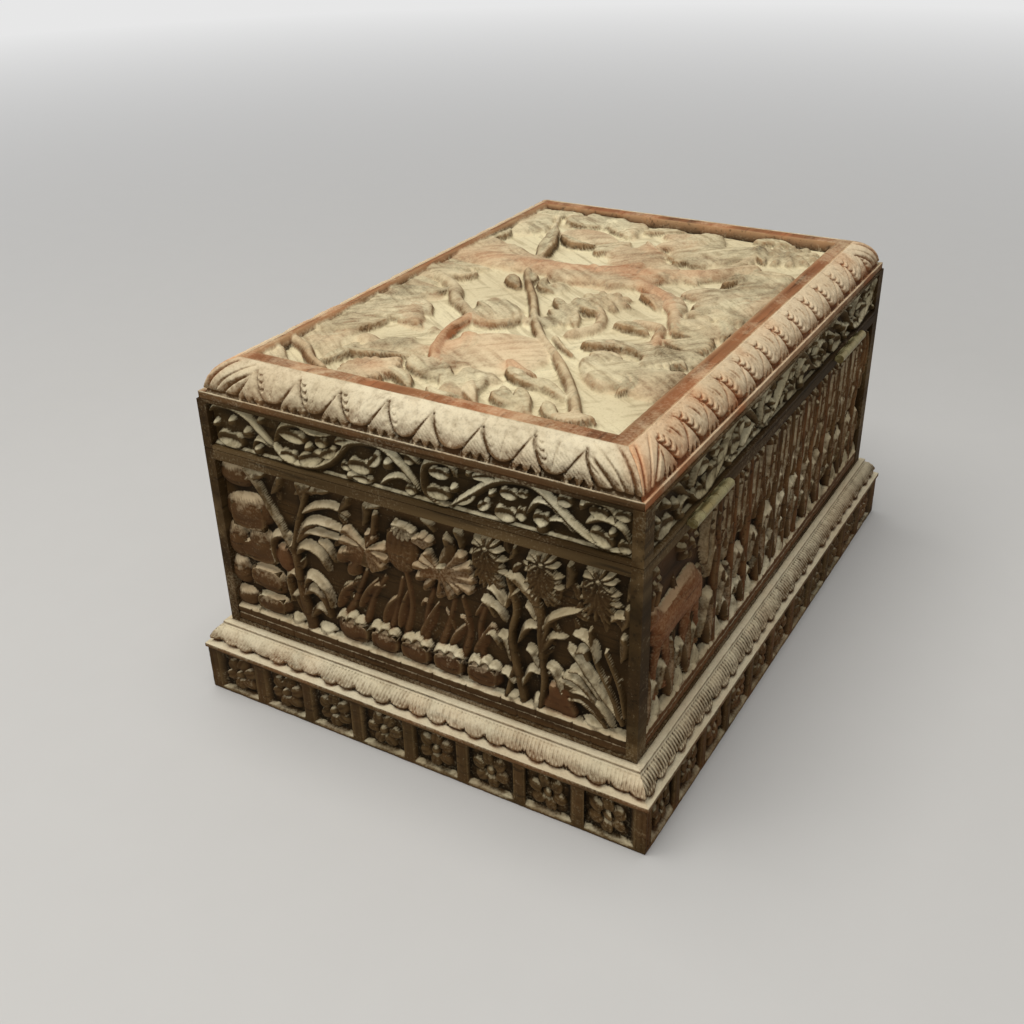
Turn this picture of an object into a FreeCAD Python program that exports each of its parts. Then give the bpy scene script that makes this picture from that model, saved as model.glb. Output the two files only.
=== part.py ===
import FreeCAD, Part
import math
import os
import re
import Sketcher

vector = FreeCAD.Vector

# Driving sizes of the box, in millimetres where they are lengths
drivingSizes = (
    ("bodyLength", "300", "length over the outside of the walls, along X"),
    ("bodyWidth", "212", "width over the outside of the walls, along Y"),
    ("wallThickness", "12", "thickness of the wall boards of body and lid"),
    ("lapThickness", "5", "strip of a long board that laps over the end board"),
    ("splitHeight", "128.4", "height of the joint between body and lid"),
    ("lidGap", "0.3", "gap between the rims of body and lid"),
    ("bottomThickness", "6", "thickness of the bottom board"),
    ("plinthHeight", "23.6", "height of the plinth frame"),
    ("plinthProjection", "9.5", "how far the plinth stands out from the walls"),
    ("plinthSeat", "12", "how far a plinth rail reaches under the bottom board"),
    ("endBays", "8", "number of rosette bays along an end"),
    ("sideBays", "11", "number of rosette bays along a long side"),
    ("bayBar", "6", "width of the upright bar between two bays"),
    ("cornerBar", "5", "width of the upright bar at a corner"),
    ("bayFoot", "2.2", "height of the plain edge under the bays"),
    ("bayHead", "1.4", "height of the plain edge above the bays"),
    ("bayDepth", "3", "depth of the sunk ground of a bay"),
    ("rosetteWidth", "16", "width of a rosette over its ring of petals"),
    ("petalCount", "6", "number of petals in that ring"),
    ("petalHeight", "1.6", "how far the petals stand out of the bay's ground"),
    ("buttonWidth", "5", "width of the button in the middle of a rosette"),
    ("buttonFlats", "6", "number of flats that make the button round"),
    ("buttonHeight", "2.7", "how far the button stands out of the bay's ground"),
    ("baseLedge", "2.5", "thickness of the flat ledge of the base moulding"),
    ("baseLedgeProjection", "10.3", "how far that ledge stands out from the walls"),
    ("reedToe", "8.9", "how far the foot of the reeded round stands out"),
    ("reedRise", "9.1", "height of the reeded round"),
    ("reedRadius", "10.5", "radius of the reeded round"),
    ("beadProjection", "3.2", "how far the small bead above it stands out"),
    ("beadHeight", "1.8", "height of that bead"),
    ("panelDepth", "5", "depth of the sunk ground of the body's carving"),
    ("panelFormHeight", "3.3", "how far the main forms of that carving stand out of its ground"),
    ("panelStile", "8", "plain strip beside the carving of a long side"),
    ("panelTopRail", "4.6", "plain strip above the body's carving"),
    ("panelFoot", "1.6", "plain strip between base moulding and carving"),
    ("courseHeight", "8", "height of the band of blocks along the foot of the carving"),
    ("courseDepth", "2", "depth of that band behind the walls' face"),
    ("lidWallHeight", "23.2", "height of the lid's wall boards"),
    ("friezeDepth", "4", "depth of the sunk ground of the lid's frieze"),
    ("friezeFoot", "1.7", "plain strip under the frieze"),
    ("friezeHead", "1", "plain strip above the frieze"),
    ("capSetback", "0.8", "how far the lid moulding's edge lies inside the walls"),
    ("capLedge", "3.4", "thickness of the lid moulding's plain edge"),
    ("capQuirk", "1.2", "width of the small flat at the toes of the leaves"),
    ("leafRun", "12", "width of the leaf moulding, seen from above"),
    ("leafRise", "13.5", "height of the leaf moulding"),
    ("leafRadius", "15", "radius of the leaf moulding's round"),
    ("leafCorner", "27.6", "distance of the first cut between two leaves from the corner"),
    ("endLeafCuts", "8", "number of cuts between the leaves of an end"),
    ("sideLeafCuts", "13", "number of cuts between the leaves of a long side"),
    ("leafCutWidth", "2.6", "width of such a cut at the leaves' face"),
    ("leafCutDepth", "2", "depth of such a cut"),
    ("capLip", "6", "width of the lip that carries the top panel"),
    ("topThickness", "10", "thickness of the top panel"),
    ("topClearance", "0.2", "gap round the top panel"),
    ("topRim", "7.5", "width of the standing rim round the top carving"),
    ("topDepth", "6", "depth of the sunk ground of the top carving"),
    ("hingeLength", "38", "length of a butt hinge"),
    ("topFormHeight", "4.4", "how far the main forms of the top carving stand out of its ground"),
    ("hingeInset", "58", "distance of a hinge's middle from the corner of the walls"),
    ("hingeAxisOffset", "2.4", "distance of the hinge axis behind the back face"),
    ("knuckleCount", "5", "number of knuckles of a hinge, an odd number"),
    ("knuckleDiameter", "4.4", "outside diameter of a hinge knuckle"),
    ("knuckleGap", "0.2", "gap between two knuckles"),
    ("hingePinDiameter", "2", "diameter of the hinge pin"),
    ("pinClearance", "0.05", "gap round the pin and round each screw and nail"),
    ("leafThickness", "1.2", "thickness of a hinge leaf"),
    ("leafWidth", "11", "width of a hinge leaf, from the back face inwards"),
    ("mortiseClearance", "0.1", "gap round a hinge leaf in its mortise"),
    ("screwCount", "3", "number of screws of a hinge leaf, an odd number"),
    ("screwPitch", "12", "distance between two screws of a leaf"),
    ("screwInset", "8.4", "distance of screws and nails from the walls' face"),
    ("screwLength", "9", "length of a hinge screw"),
    ("screwShank", "2.2", "diameter of a screw's shank"),
    ("screwHead", "4.2", "diameter of a screw's head"),
    ("screwHeadDepth", "1", "height of a screw's tapered head"),
    ("slotWidth", "0.6", "width of the slot in a screw's head"),
    ("slotDepth", "0.5", "depth of that slot"),
    ("nailLength", "19", "length of a bottom board nail"),
    ("nailShank", "1.8", "width of a square nail under its head"),
    ("nailPoint", "0.7", "width of its point"),
    ("nailHead", "3.4", "width of its head"),
    ("nailHeadDepth", "0.8", "thickness of its head"),
    ("screwFacets", "8", "number of flats that make a screw or its hole round"),
    ("boreFacets", "12", "number of flats of the hole through the knuckles"),
    ("overrun", "2", "how far a cut runs past the face that it leaves"),
)

# Places of the bottom board's nails, as shares of half the side's length
sideNailShares = (-0.84, -0.28, 0.28, 0.84)
endNailShares = (-0.45, 0.45)

# Main forms of the top carving, as shares of half the sunk field along X and along Y: branches,
# the great leaf in the middle, leaf masses along the edges and two flower heads
topShares = (
    ((-0.195, -0.973), (-0.203, -0.593), (-0.234, -0.237), (-0.273, 0.047), (-0.187, 0.332),
     (-0.070, 0.498), (0.125, 0.629), (0.125, 0.712), (-0.031, 0.641), (-0.210, 0.451),
     (-0.304, 0.285), (-0.468, 0.593), (-0.592, 0.676), (-0.608, 0.593), (-0.436, 0.214),
     (-0.382, -0.119), (-0.374, -0.474), (-0.405, -0.973)),
    ((-0.140, -0.463), (0.273, -0.071), (0.522, 0.261), (0.873, 0.676), (0.850, 0.712), (0.499, 0.308),
     (0.249, -0.024), (-0.156, -0.415)),
    ((0.016, -0.973), (0.125, -0.735), (0.327, -0.439), (0.499, -0.427), (0.725, -0.285),
     (0.764, -0.142), (0.717, -0.107), (0.655, -0.261), (0.483, -0.356), (0.351, -0.344),
     (0.351, -0.178), (0.273, -0.119), (0.265, -0.190), (0.320, -0.308), (0.156, -0.593),
     (-0.062, -0.973)),
    ((0.530, -0.214), (0.444, -0.119), (0.468, 0.095), (0.577, 0.190), (0.686, 0.142), (0.701, -0.119)),
    ((-0.031, 0.024), (0.047, 0.095), (0.031, 0.237), (-0.062, 0.261), (-0.109, 0.142)),
    ((0.468, -0.973), (0.655, -0.973), (0.514, -0.783), (0.468, -0.641)),
    ((0.171, -0.973), (0.390, -0.973), (0.351, -0.688), (0.156, -0.783)),
    ((0.842, -0.546), (0.865, -0.308), (0.951, -0.308), (0.951, -0.546)),
    ((0.327, 0.688), (0.421, 0.783), (0.452, 0.949), (0.265, 0.949), (0.218, 0.712)),
    ((0.514, 0.546), (0.569, 0.712), (0.538, 0.949), (0.483, 0.949), (0.475, 0.641)),
    ((-0.826, 0.641), (-0.764, 0.735), (-0.779, 0.878), (-0.873, 0.925), (-0.928, 0.807),
     (-0.904, 0.664)),
    ((-0.717, -0.664), (-0.787, -0.569), (-0.772, -0.380), (-0.701, -0.332), (-0.647, -0.451),
     (-0.655, -0.617)),
    ((-0.514, -0.119), (-0.608, -0.024), (-0.561, 0.107), (-0.483, 0.071)),
    ((-0.171, 0.712), (-0.187, 0.902), (-0.546, 0.925), (-0.530, 0.783)),
)

# Main forms of a long side, as shares of half its carved length and of the ground's height:
# a beast and a row of trees
sideShares = (
    ((-0.908, 0.537), (-0.873, 0.615), (-0.690, 0.654), (-0.620, 0.576), (-0.634, 0.459),
     (-0.704, 0.453), (-0.873, 0.440)),
    ((-0.503, 0.031), (-0.483, 0.031), (-0.483, 0.784), (-0.451, 0.823), (-0.451, 0.940),
     (-0.535, 0.940), (-0.535, 0.823), (-0.503, 0.784)),
    ((-0.249, 0.031), (-0.230, 0.031), (-0.230, 0.784), (-0.197, 0.823), (-0.197, 0.940),
     (-0.282, 0.940), (-0.282, 0.823), (-0.249, 0.784)),
    ((0.004, 0.031), (0.024, 0.031), (0.024, 0.784), (0.056, 0.823), (0.056, 0.940), (-0.028, 0.940),
     (-0.028, 0.823), (0.004, 0.784)),
    ((0.258, 0.031), (0.277, 0.031), (0.277, 0.784), (0.310, 0.823), (0.310, 0.940), (0.225, 0.940),
     (0.225, 0.823), (0.258, 0.784)),
    ((0.511, 0.031), (0.531, 0.031), (0.531, 0.784), (0.563, 0.823), (0.563, 0.940), (0.479, 0.940),
     (0.479, 0.823), (0.511, 0.784)),
    ((0.765, 0.031), (0.785, 0.031), (0.785, 0.784), (0.817, 0.823), (0.817, 0.940), (0.732, 0.940),
     (0.732, 0.823), (0.765, 0.784)),
)

# Main forms of an end in the same way: boulders along the foot and at one side, two winged leaves,
# a bud, three flower heads and the longest leaf
endShares = (
    ((-0.391, 0.031), (-0.262, 0.031), (-0.262, 0.135), (-0.391, 0.135)),
    ((-0.233, 0.031), (-0.104, 0.031), (-0.104, 0.135), (-0.233, 0.135)),
    ((-0.074, 0.031), (0.054, 0.031), (0.054, 0.135), (-0.074, 0.135)),
    ((0.094, 0.031), (0.223, 0.031), (0.223, 0.135), (0.094, 0.135)),
    ((0.262, 0.031), (0.391, 0.031), (0.391, 0.135), (0.262, 0.135)),
    ((-0.876, 0.031), (-0.728, 0.031), (-0.728, 0.122), (-0.876, 0.122)),
    ((-0.891, 0.193), (-0.733, 0.193), (-0.733, 0.310), (-0.891, 0.310)),
    ((-0.921, 0.369), (-0.743, 0.369), (-0.743, 0.485), (-0.921, 0.485)),
    ((-0.960, 0.576), (-0.782, 0.576), (-0.782, 0.732), (-0.960, 0.732)),
    ((-0.327, 0.576), (-0.168, 0.563), (-0.149, 0.654), (-0.317, 0.667)),
    ((0.050, 0.615), (0.287, 0.667), (0.277, 0.745), (0.059, 0.667)),
    ((-0.104, 0.706), (0.005, 0.706), (0.005, 0.849), (-0.104, 0.849)),
    ((0.312, 0.771), (0.421, 0.771), (0.421, 0.901), (0.312, 0.901)),
    ((0.559, 0.771), (0.668, 0.771), (0.668, 0.901), (0.559, 0.901)),
    ((0.797, 0.771), (0.906, 0.771), (0.906, 0.901), (0.797, 0.901)),
    ((0.683, 0.174), (0.782, 0.135), (0.871, 0.070), (0.901, 0.096), (0.812, 0.187), (0.693, 0.226)),
)

# These sides carry their forms the other way round
mirroredSides = ("front", "left_end")

# A nail is square, so it has four flats
nailFacets = "4"
quarterTurn = 90

doc = FreeCAD.newDocument("carved_box")
sizes = doc.addObject("Spreadsheet::Sheet", "Sizes")
for row, (name, number, note) in enumerate(drivingSizes, start=1):
    sizes.set(f"A{row}", name)
    sizes.set(f"B{row}", number)
    sizes.setAlias(f"B{row}", name)
    sizes.set(f"C{row}", note)
doc.recompute()
sizeNames = {name for name, number, note in drivingSizes}

# Heights and distances that follow from the driving sizes
bottomTop = "(plinthHeight + bottomThickness)"
bodyTop = "(splitHeight - lidGap / 2)"
lidBottom = "(splitHeight + lidGap / 2)"
lidWallTop = f"({lidBottom} + lidWallHeight)"
capTop = f"({lidWallTop} + capLedge + leafRise)"
baseLedgeTop = "(plinthHeight + baseLedge)"
reedTop = f"({baseLedgeTop} + reedRise)"
baseTop = f"({reedTop} + beadHeight)"
capInset = "(capSetback + capQuirk + leafRun)"
ledgeTop = f"({lidWallTop} + capLedge)"
knuckleRadius = "(knuckleDiameter / 2)"
knucklePitch = "(hingeLength / knuckleCount)"
hingeReach = "(bodyLength / 2 - hingeInset)"
pinBore = "(hingePinDiameter / 2 + pinClearance)"
screwBore = "(screwShank / 2 + pinClearance)"
nailBore = "(nailShank / 2 + pinClearance)"

# The four sides: name, half length, distance from the middle, turn about Z
halfLength = "(bodyLength / 2)"
halfWidth = "(bodyWidth / 2)"
sides = (
    ("front", halfLength, halfWidth, 0),
    ("back", halfLength, halfWidth, 180),
    ("right_end", halfWidth, halfLength, 90),
    ("left_end", halfWidth, halfLength, -90),
)


def bound(text):
    """The expression with the sheet's name before each size."""
    return re.sub(r"[A-Za-z]\w*", lambda word: "Sizes." + word.group() if word.group() in sizeNames
                  else word.group(), text)


def value(text):
    """What the expression comes to now."""
    return float(sizes.evalExpression(text))


def stepsAbout(countText):
    """Whole steps on both sides of a middle one, as many as the odd count says."""
    reach = int(value(countText)) // 2
    return range(-reach, reach + 1)


def newBody(label):
    body = doc.addObject("PartDesign::Body", label)
    body.Label = label
    return body


def newSketch(body, name, role, lift=None):
    """An empty sketch on one of the body's own planes, raised along the plane's normal."""
    sketch = body.newObject("Sketcher::SketchObject", name)
    plane = [feature for feature in body.Origin.OriginFeatures if feature.Role == role][0]
    sketch.AttachmentSupport = [(plane, "")]
    sketch.MapMode = "FlatFace"
    if lift:
        sketch.setExpression("AttachmentOffset.Base.z", bound(lift))
    return sketch


def place(sketch, edge, end, corner):
    """Ties one end of an edge to a corner that is written in sizes."""
    for kind, text in zip(("DistanceX", "DistanceY"), corner):
        index = sketch.addConstraint(Sketcher.Constraint(kind, edge, end, value(text)))
        sketch.setExpression(f"Constraints[{index}]", bound(text))


def addOutline(sketch, corners):
    """A closed outline. A corner is (x, y), or (x, y, radius) where a round that bulges to the
    right of the way round leads on to the next corner; a minus before it bulges to the left."""
    points = [vector(value(corner[0]), value(corner[1]), 0) for corner in corners]
    first = sketch.GeometryCount
    starts = []
    for index, corner in enumerate(corners):
        start = points[index]
        finish = points[(index + 1) % len(points)]
        if len(corner) == 2:
            sketch.addGeometry(Part.LineSegment(start, finish))
            starts.append(1)
            continue
        left = corner[2].startswith("-")
        radiusText = corner[2].lstrip("-")
        radius = value(radiusText)
        chord = finish - start
        rise = radius - (radius ** 2 - (chord.Length / 2) ** 2) ** 0.5
        outward = vector(chord.y, -chord.x, 0).normalize() * (-rise if left else rise)
        arc = sketch.addGeometry(Part.Arc(start, (start + finish) / 2 + outward, finish))
        index = sketch.addConstraint(Sketcher.Constraint("Radius", arc, radius))
        sketch.setExpression(f"Constraints[{index}]", bound(radiusText))
        starts.append(2 if left else 1)
    count = len(corners)
    for index, corner in enumerate(corners):
        before = (index - 1) % count
        place(sketch, first + index, starts[index], corner[:2])
        sketch.addConstraint(Sketcher.Constraint("Coincident", first + before, 3 - starts[before],
                                                 first + index, starts[index]))


def rectangle(left, low, right, high):
    return ((left, low), (right, low), (right, high), (left, high))


def flatShares(countText):
    """Corners of a regular outline with a flat at the foot, as shares of half its width across flats."""
    count = int(value(countText))
    angles = [2 * math.pi * (index + 0.5) / count - math.pi / 2 for index in range(count)]
    corner = 1 / math.cos(math.pi / count)
    return [(corner * math.cos(angle), corner * math.sin(angle)) for angle in angles]


def regular(x, y, halfAcross, countText):
    """The corners of a regular outline about a middle, for a sketch."""
    return [(f"({x} + ({across:.6f}) * {halfAcross})", f"({y} + ({up:.6f}) * {halfAcross})")
            for across, up in flatShares(countText)]


def addCircle(sketch, x, y, radius):
    circle = sketch.addGeometry(Part.Circle(vector(value(x), value(y), 0), vector(0, 0, 1), value(radius)))
    place(sketch, circle, 3, (x, y))
    index = sketch.addConstraint(Sketcher.Constraint("Radius", circle, value(radius)))
    sketch.setExpression(f"Constraints[{index}]", bound(radius))


def addFeature(body, kind, name, sketch, length, side="One side", reverse=False):
    """A pad or a pocket of a stated length."""
    feature = body.newObject("PartDesign::" + kind, name)
    feature.Profile = sketch
    feature.SideType = side
    feature.Reversed = reverse
    feature.setExpression("Length", bound(length))
    return feature


def repeatAlongX(body, name, feature, length, count):
    """Copies of a feature along X, the first in its own place, over the stated length."""
    pattern = body.newObject("PartDesign::LinearPattern", name)
    pattern.Originals = [feature]
    xAxis = [item for item in body.Origin.OriginFeatures if item.Role == "X_Axis"][0]
    pattern.Direction = (xAxis, [""])
    pattern.setExpression("Length", bound(length))
    pattern.setExpression("Occurrences", bound(count))
    body.Tip = pattern
    return pattern


def turnTo(piece, angle):
    """Turns a piece that was made facing the front to its own side of the box."""
    piece.Placement = FreeCAD.Placement(vector(), FreeCAD.Rotation(vector(0, 0, 1), angle))


def sinkField(body, name, reach, field, depth):
    """The sunk ground of a carving, cut from the outer face."""
    sketch = newSketch(body, name + "_outline", "XZ_Plane", reach)
    addOutline(sketch, field)
    addFeature(body, "Pocket", name, sketch, depth)


def raiseForms(body, role, lift, forms, corner, height):
    """The main forms of a carving, raised from its sunk ground. corner turns two shares into a place."""
    sketch = newSketch(body, "form_outlines", role, lift)
    for form in forms:
        addOutline(sketch, [corner(across, up) for across, up in form])
    addFeature(body, "Pad", "forms", sketch, height)


def cutHoles(body, name, lift, places, halfAcross, facets, depth, reverse):
    """Holes from a level face, up when reverse is set."""
    sketch = newSketch(body, name + "_outlines", "XY_Plane", lift)
    for x, y in places:
        addOutline(sketch, regular(x, y, halfAcross, facets))
    return addFeature(body, "Pocket", name, sketch, depth, reverse=reverse)


def makeWall(label, half, reach, angle, foot, height):
    """One wall board. The long boards have a rebate at each end and lap over the end boards."""
    outer = f"-{reach}"
    inner = f"-({reach} - wallThickness)"
    lap = f"-({reach} - lapThickness)"
    body = newBody(label)
    plan = newSketch(body, "plan", "XY_Plane", foot)
    if half == halfLength:
        shoulder = f"({half} - wallThickness)"
        addOutline(plan, ((f"-{half}", outer), (half, outer), (half, lap), (shoulder, lap), (shoulder, inner),
                          (f"-{shoulder}", inner), (f"-{shoulder}", lap), (f"-{half}", lap)))
    else:
        ending = f"({half} - lapThickness)"
        addOutline(plan, rectangle(f"-{ending}", outer, ending, inner))
    addFeature(body, "Pad", "board", plan, height)
    turnTo(body, angle)
    return body


def nailPlaces(half, reach):
    shares = sideNailShares if half == halfLength else endNailShares
    return [(f"({share} * {half})", f"-({reach} - screwInset)") for share in shares]


def hingePlaces():
    """Places of the screws along the back, in the board's own frame."""
    return [f"({hand} * {hingeReach} + {step} * screwPitch)"
            for hand in (-1, 1) for step in stepsAbout("screwCount")]


def cutHingeSeats(body, lift, reverse):
    """Two mortises for the hinge leaves and the holes for their screws."""
    outer = f"-({halfWidth} + overrun)"
    inner = f"-({halfWidth} - leafWidth - mortiseClearance)"
    sketch = newSketch(body, "mortises", "XY_Plane", lift)
    for hand in ("-1", "1"):
        left = f"({hand} * {hingeReach} - hingeLength / 2 - mortiseClearance)"
        right = f"({hand} * {hingeReach} + hingeLength / 2 + mortiseClearance)"
        addOutline(sketch, rectangle(left, outer, right, inner))
    addFeature(body, "Pocket", "hinge_seats", sketch, "leafThickness", reverse=reverse)
    places = [(x, f"-({halfWidth} - screwInset)") for x in hingePlaces()]
    cutHoles(body, "screw_holes", lift, places, screwBore, "screwFacets", "(screwLength + pinClearance)",
             reverse)


def addRun(body, name, half, stand, profile):
    """A straight run of a moulding with its profile in the YZ plane."""
    section = newSketch(body, name + "_section", "YZ_Plane")
    addOutline(section, profile)
    addFeature(body, "Pad", name, section, f"(2 * ({half} + {stand}))", side="Symmetric")


def mitreEnds(body, half, reach, angle, stand, depth):
    """Mitres both ends of a run that stands out from the walls by stand and reaches inwards by depth,
    and turns it to its own side."""
    mitre = newSketch(body, "mitre_lines", "XY_Plane")
    far = f"({half} + {stand} + overrun)"
    near = f"({half} - {depth} - overrun)"
    front = f"-({reach} + {stand} + overrun)"
    rear = f"-({reach} - {depth} - overrun)"
    addOutline(mitre, ((far, front), (far, rear), (near, rear)))
    addOutline(mitre, ((f"-{far}", front), (f"-{near}", rear), (f"-{far}", rear)))
    addFeature(body, "Pocket", "mitres", mitre, f"(2 * {capTop} + overrun)", side="Symmetric")
    turnTo(body, angle)


# Plinth frame: four mitred rails with a rosette in each sunk bay
def makePlinthRail(name, half, reach, angle):
    outer = f"-({reach} + plinthProjection)"
    inner = f"-({reach} - plinthSeat)"
    body = newBody("plinth_" + name)
    addRun(body, "rail", half, "plinthProjection", rectangle(outer, "0", inner, "plinthHeight"))
    bays = "sideBays" if half == halfLength else "endBays"
    run = f"(2 * ({half} + plinthProjection - cornerBar))"
    pitch = f"(({run} + bayBar) / {bays})"
    left = f"(-{run} / 2)"
    right = f"({left} + {pitch} - bayBar)"
    head = "(plinthHeight - bayHead)"
    sketch = newSketch(body, "first_bay", "XZ_Plane", f"({reach} + plinthProjection)")
    addOutline(sketch, rectangle(left, "bayFoot", right, head))
    bay = addFeature(body, "Pocket", "bay", sketch, "bayDepth")
    repeatAlongX(body, "bays", bay, f"({run} + bayBar - {pitch})", bays)
    middle = (f"(({left} + {right}) / 2)", f"((bayFoot + {head}) / 2)")
    ground = f"({reach} + plinthProjection - bayDepth)"
    for part, width, flats, height in (("petals", "rosetteWidth", "petalCount", "petalHeight"),
                                       ("button", "buttonWidth", "buttonFlats", "buttonHeight")):
        outline = newSketch(body, part + "_outline", "XZ_Plane", ground)
        addOutline(outline, regular(*middle, f"({width} / 2)", flats))
        first = addFeature(body, "Pad", "first_" + part, outline, height)
        repeatAlongX(body, part, first, f"({run} + bayBar - {pitch})", bays)
    mitreEnds(body, half, reach, angle, "plinthProjection", "plinthSeat")


# Base moulding: a flat ledge, the round that carries the reeds, and a small bead
def makeBaseMoulding(name, half, reach, angle):
    profile = ((f"-{reach}", "plinthHeight"),
               (f"-{reach}", baseTop),
               (f"-({reach} + beadProjection)", baseTop),
               (f"-({reach} + beadProjection)", reedTop, "reedRadius"),
               (f"-({reach} + reedToe)", baseLedgeTop),
               (f"-({reach} + baseLedgeProjection)", baseLedgeTop),
               (f"-({reach} + baseLedgeProjection)", "plinthHeight"))
    body = newBody("base_moulding_" + name)
    addRun(body, "moulding", half, "baseLedgeProjection", profile)
    mitreEnds(body, half, reach, angle, "baseLedgeProjection", "0")


def cutBetweenLeaves(body, half, reach):
    """V-shaped cuts that follow the round of the leaf moulding. One cut is turned about the middle
    of the round, which lies off the middle of its chord by a share of the chord's rise and run."""
    share = "sqrt(leafRadius ^ 2 / (leafRun ^ 2 + leafRise ^ 2) - 1 / 4)"
    axisY = f"({share} * leafRise - ({reach} - capSetback - capQuirk - leafRun / 2))"
    axisZ = f"({ledgeTop} + leafRise / 2 - {share} * leafRun)"
    sketch = newSketch(body, "leaf_cut_section", "XY_Plane", axisZ)
    middle = f"(leafCorner - {half})"
    left = f"({middle} - leafCutWidth / 2)"
    right = f"({middle} + leafCutWidth / 2)"
    face = f"({axisY} - leafRadius)"
    addOutline(sketch, ((left, f"({face} - overrun)"), (right, f"({face} - overrun)"), (right, face),
                        (middle, f"({face} + leafCutDepth)"), (left, face)))
    axis = sketch.addGeometry(Part.LineSegment(vector(value(left), value(axisY), 0),
                                               vector(value(right), value(axisY), 0)), True)
    place(sketch, axis, 1, (left, axisY))
    place(sketch, axis, 2, (right, axisY))
    cut = body.newObject("PartDesign::Groove", "leaf_cut")
    cut.Profile = sketch
    cut.ReferenceAxis = (sketch, ["Axis0"])
    cut.Angle = quarterTurn
    cut.Reversed = True
    cuts = "sideLeafCuts" if half == halfLength else "endLeafCuts"
    repeatAlongX(body, "leaf_cuts", cut, f"(2 * ({half} - leafCorner))", cuts)


# Lid moulding: the round of leaves on a plain edge, and a lip under the top panel
def makeLidMoulding(name, half, reach, angle):
    lipTop = f"({capTop} - topThickness)"
    inner = f"-({reach} - {capInset})"
    leaves = ((inner, ledgeTop),
              (inner, capTop, "leafRadius"),
              (f"-({reach} - capSetback - capQuirk)", ledgeTop))
    edge = ((f"-({reach} - capSetback)", lidWallTop),
            (f"-({reach} - {capInset} - capLip)", lidWallTop),
            (f"-({reach} - {capInset} - capLip)", lipTop),
            (inner, lipTop),
            (inner, ledgeTop),
            (f"-({reach} - capSetback)", ledgeTop))
    body = newBody("lid_moulding_" + name)
    addRun(body, "leaf_round", half, "(-capSetback)", leaves)
    cutBetweenLeaves(body, half, reach)
    addRun(body, "edge", half, "(-capSetback)", edge)
    mitreEnds(body, half, reach, angle, "(-capSetback)", f"({capInset} + capLip)")


def makeBodyWall(name, half, reach, angle):
    span = carvedSpan(half)
    foot = f"({baseTop} + panelFoot)"
    ground = f"({foot} + courseHeight)"
    body = makeWall("body_" + name, half, reach, angle, bottomTop, f"({bodyTop} - {bottomTop})")
    sinkField(body, "sunk_ground", reach, rectangle(f"-{span}", ground, span, f"({bodyTop} - panelTopRail)"),
              "panelDepth")
    sinkField(body, "course", reach, rectangle(f"-{span}", foot, span, f"({ground} + overrun)"),
              "courseDepth")
    forms = sideShares if half == halfLength else endShares
    seen = f"({half} - {'panelStile' if half == halfLength else 'lapThickness'})"
    hand = -1 if name in mirroredSides else 1
    raiseForms(body, "XZ_Plane", f"({reach} - panelDepth)", forms,
               lambda across, up: (f"({hand * across} * {seen})",
                                   f"({ground} + {up} * ({bodyTop} - panelTopRail - {ground}))"),
               "panelFormHeight")
    cutHoles(body, "nail_holes", bottomTop, nailPlaces(half, reach), nailBore, nailFacets,
             "(nailLength - bottomThickness + pinClearance)", True)
    if name == "back":
        cutHingeSeats(body, bodyTop, False)


def carvedSpan(half):
    """Half the length of a carving: inside the stiles of a long side, right across an end."""
    return f"({half} - panelStile)" if half == halfLength else f"({half} - lapThickness + overrun)"


def makeLidWall(name, half, reach, angle):
    span = carvedSpan(half)
    body = makeWall("lid_" + name, half, reach, angle, lidBottom, "lidWallHeight")
    sinkField(body, "sunk_ground", reach,
              rectangle(f"-{span}", f"({lidBottom} + friezeFoot)", span, f"({lidWallTop} - friezeHead)"),
              "friezeDepth")
    if name == "back":
        cutHingeSeats(body, lidBottom, True)


def makeBottomBoard():
    body = newBody("bottom_board")
    sketch = newSketch(body, "plan", "XY_Plane", "plinthHeight")
    addOutline(sketch, rectangle(f"-{halfLength}", f"-{halfWidth}", halfLength, halfWidth))
    addFeature(body, "Pad", "board", sketch, "bottomThickness")
    places = []
    for name, half, reach, angle in sides:
        for x, y in nailPlaces(half, reach):
            places.append({0: (x, y), 180: (f"-{x}", f"-{y}"), 90: (f"-{y}", x), -90: (y, f"-{x}")}[angle])
    cutHoles(body, "nail_holes", "plinthHeight", places, nailBore, nailFacets,
             "(bottomThickness + overrun)", True)
    cutHoles(body, "nail_head_seats", "plinthHeight", places, "(nailHead / 2 + pinClearance)", nailFacets,
             "nailHeadDepth", True)
    return places


def makeTopPanel():
    """The top board, let into the lid moulding, with a standing rim round its sunk ground."""
    body = newBody("lid_panel")
    x = f"({halfLength} - {capInset} - topClearance)"
    y = f"({halfWidth} - {capInset} - topClearance)"
    plan = newSketch(body, "plan", "XY_Plane", f"({capTop} - topThickness)")
    addOutline(plan, rectangle(f"-{x}", f"-{y}", x, y))
    addFeature(body, "Pad", "board", plan, "topThickness")
    field = newSketch(body, "field", "XY_Plane", capTop)
    addOutline(field, rectangle(f"-({x} - topRim)", f"-({y} - topRim)", f"({x} - topRim)", f"({y} - topRim)"))
    addFeature(body, "Pocket", "sunk_ground", field, "topDepth")
    raiseForms(body, "XY_Plane", f"({capTop} - topDepth)", topShares,
               lambda along, across: (f"({along} * ({x} - topRim))", f"({across} * ({y} - topRim))"),
               "topFormHeight")


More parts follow.
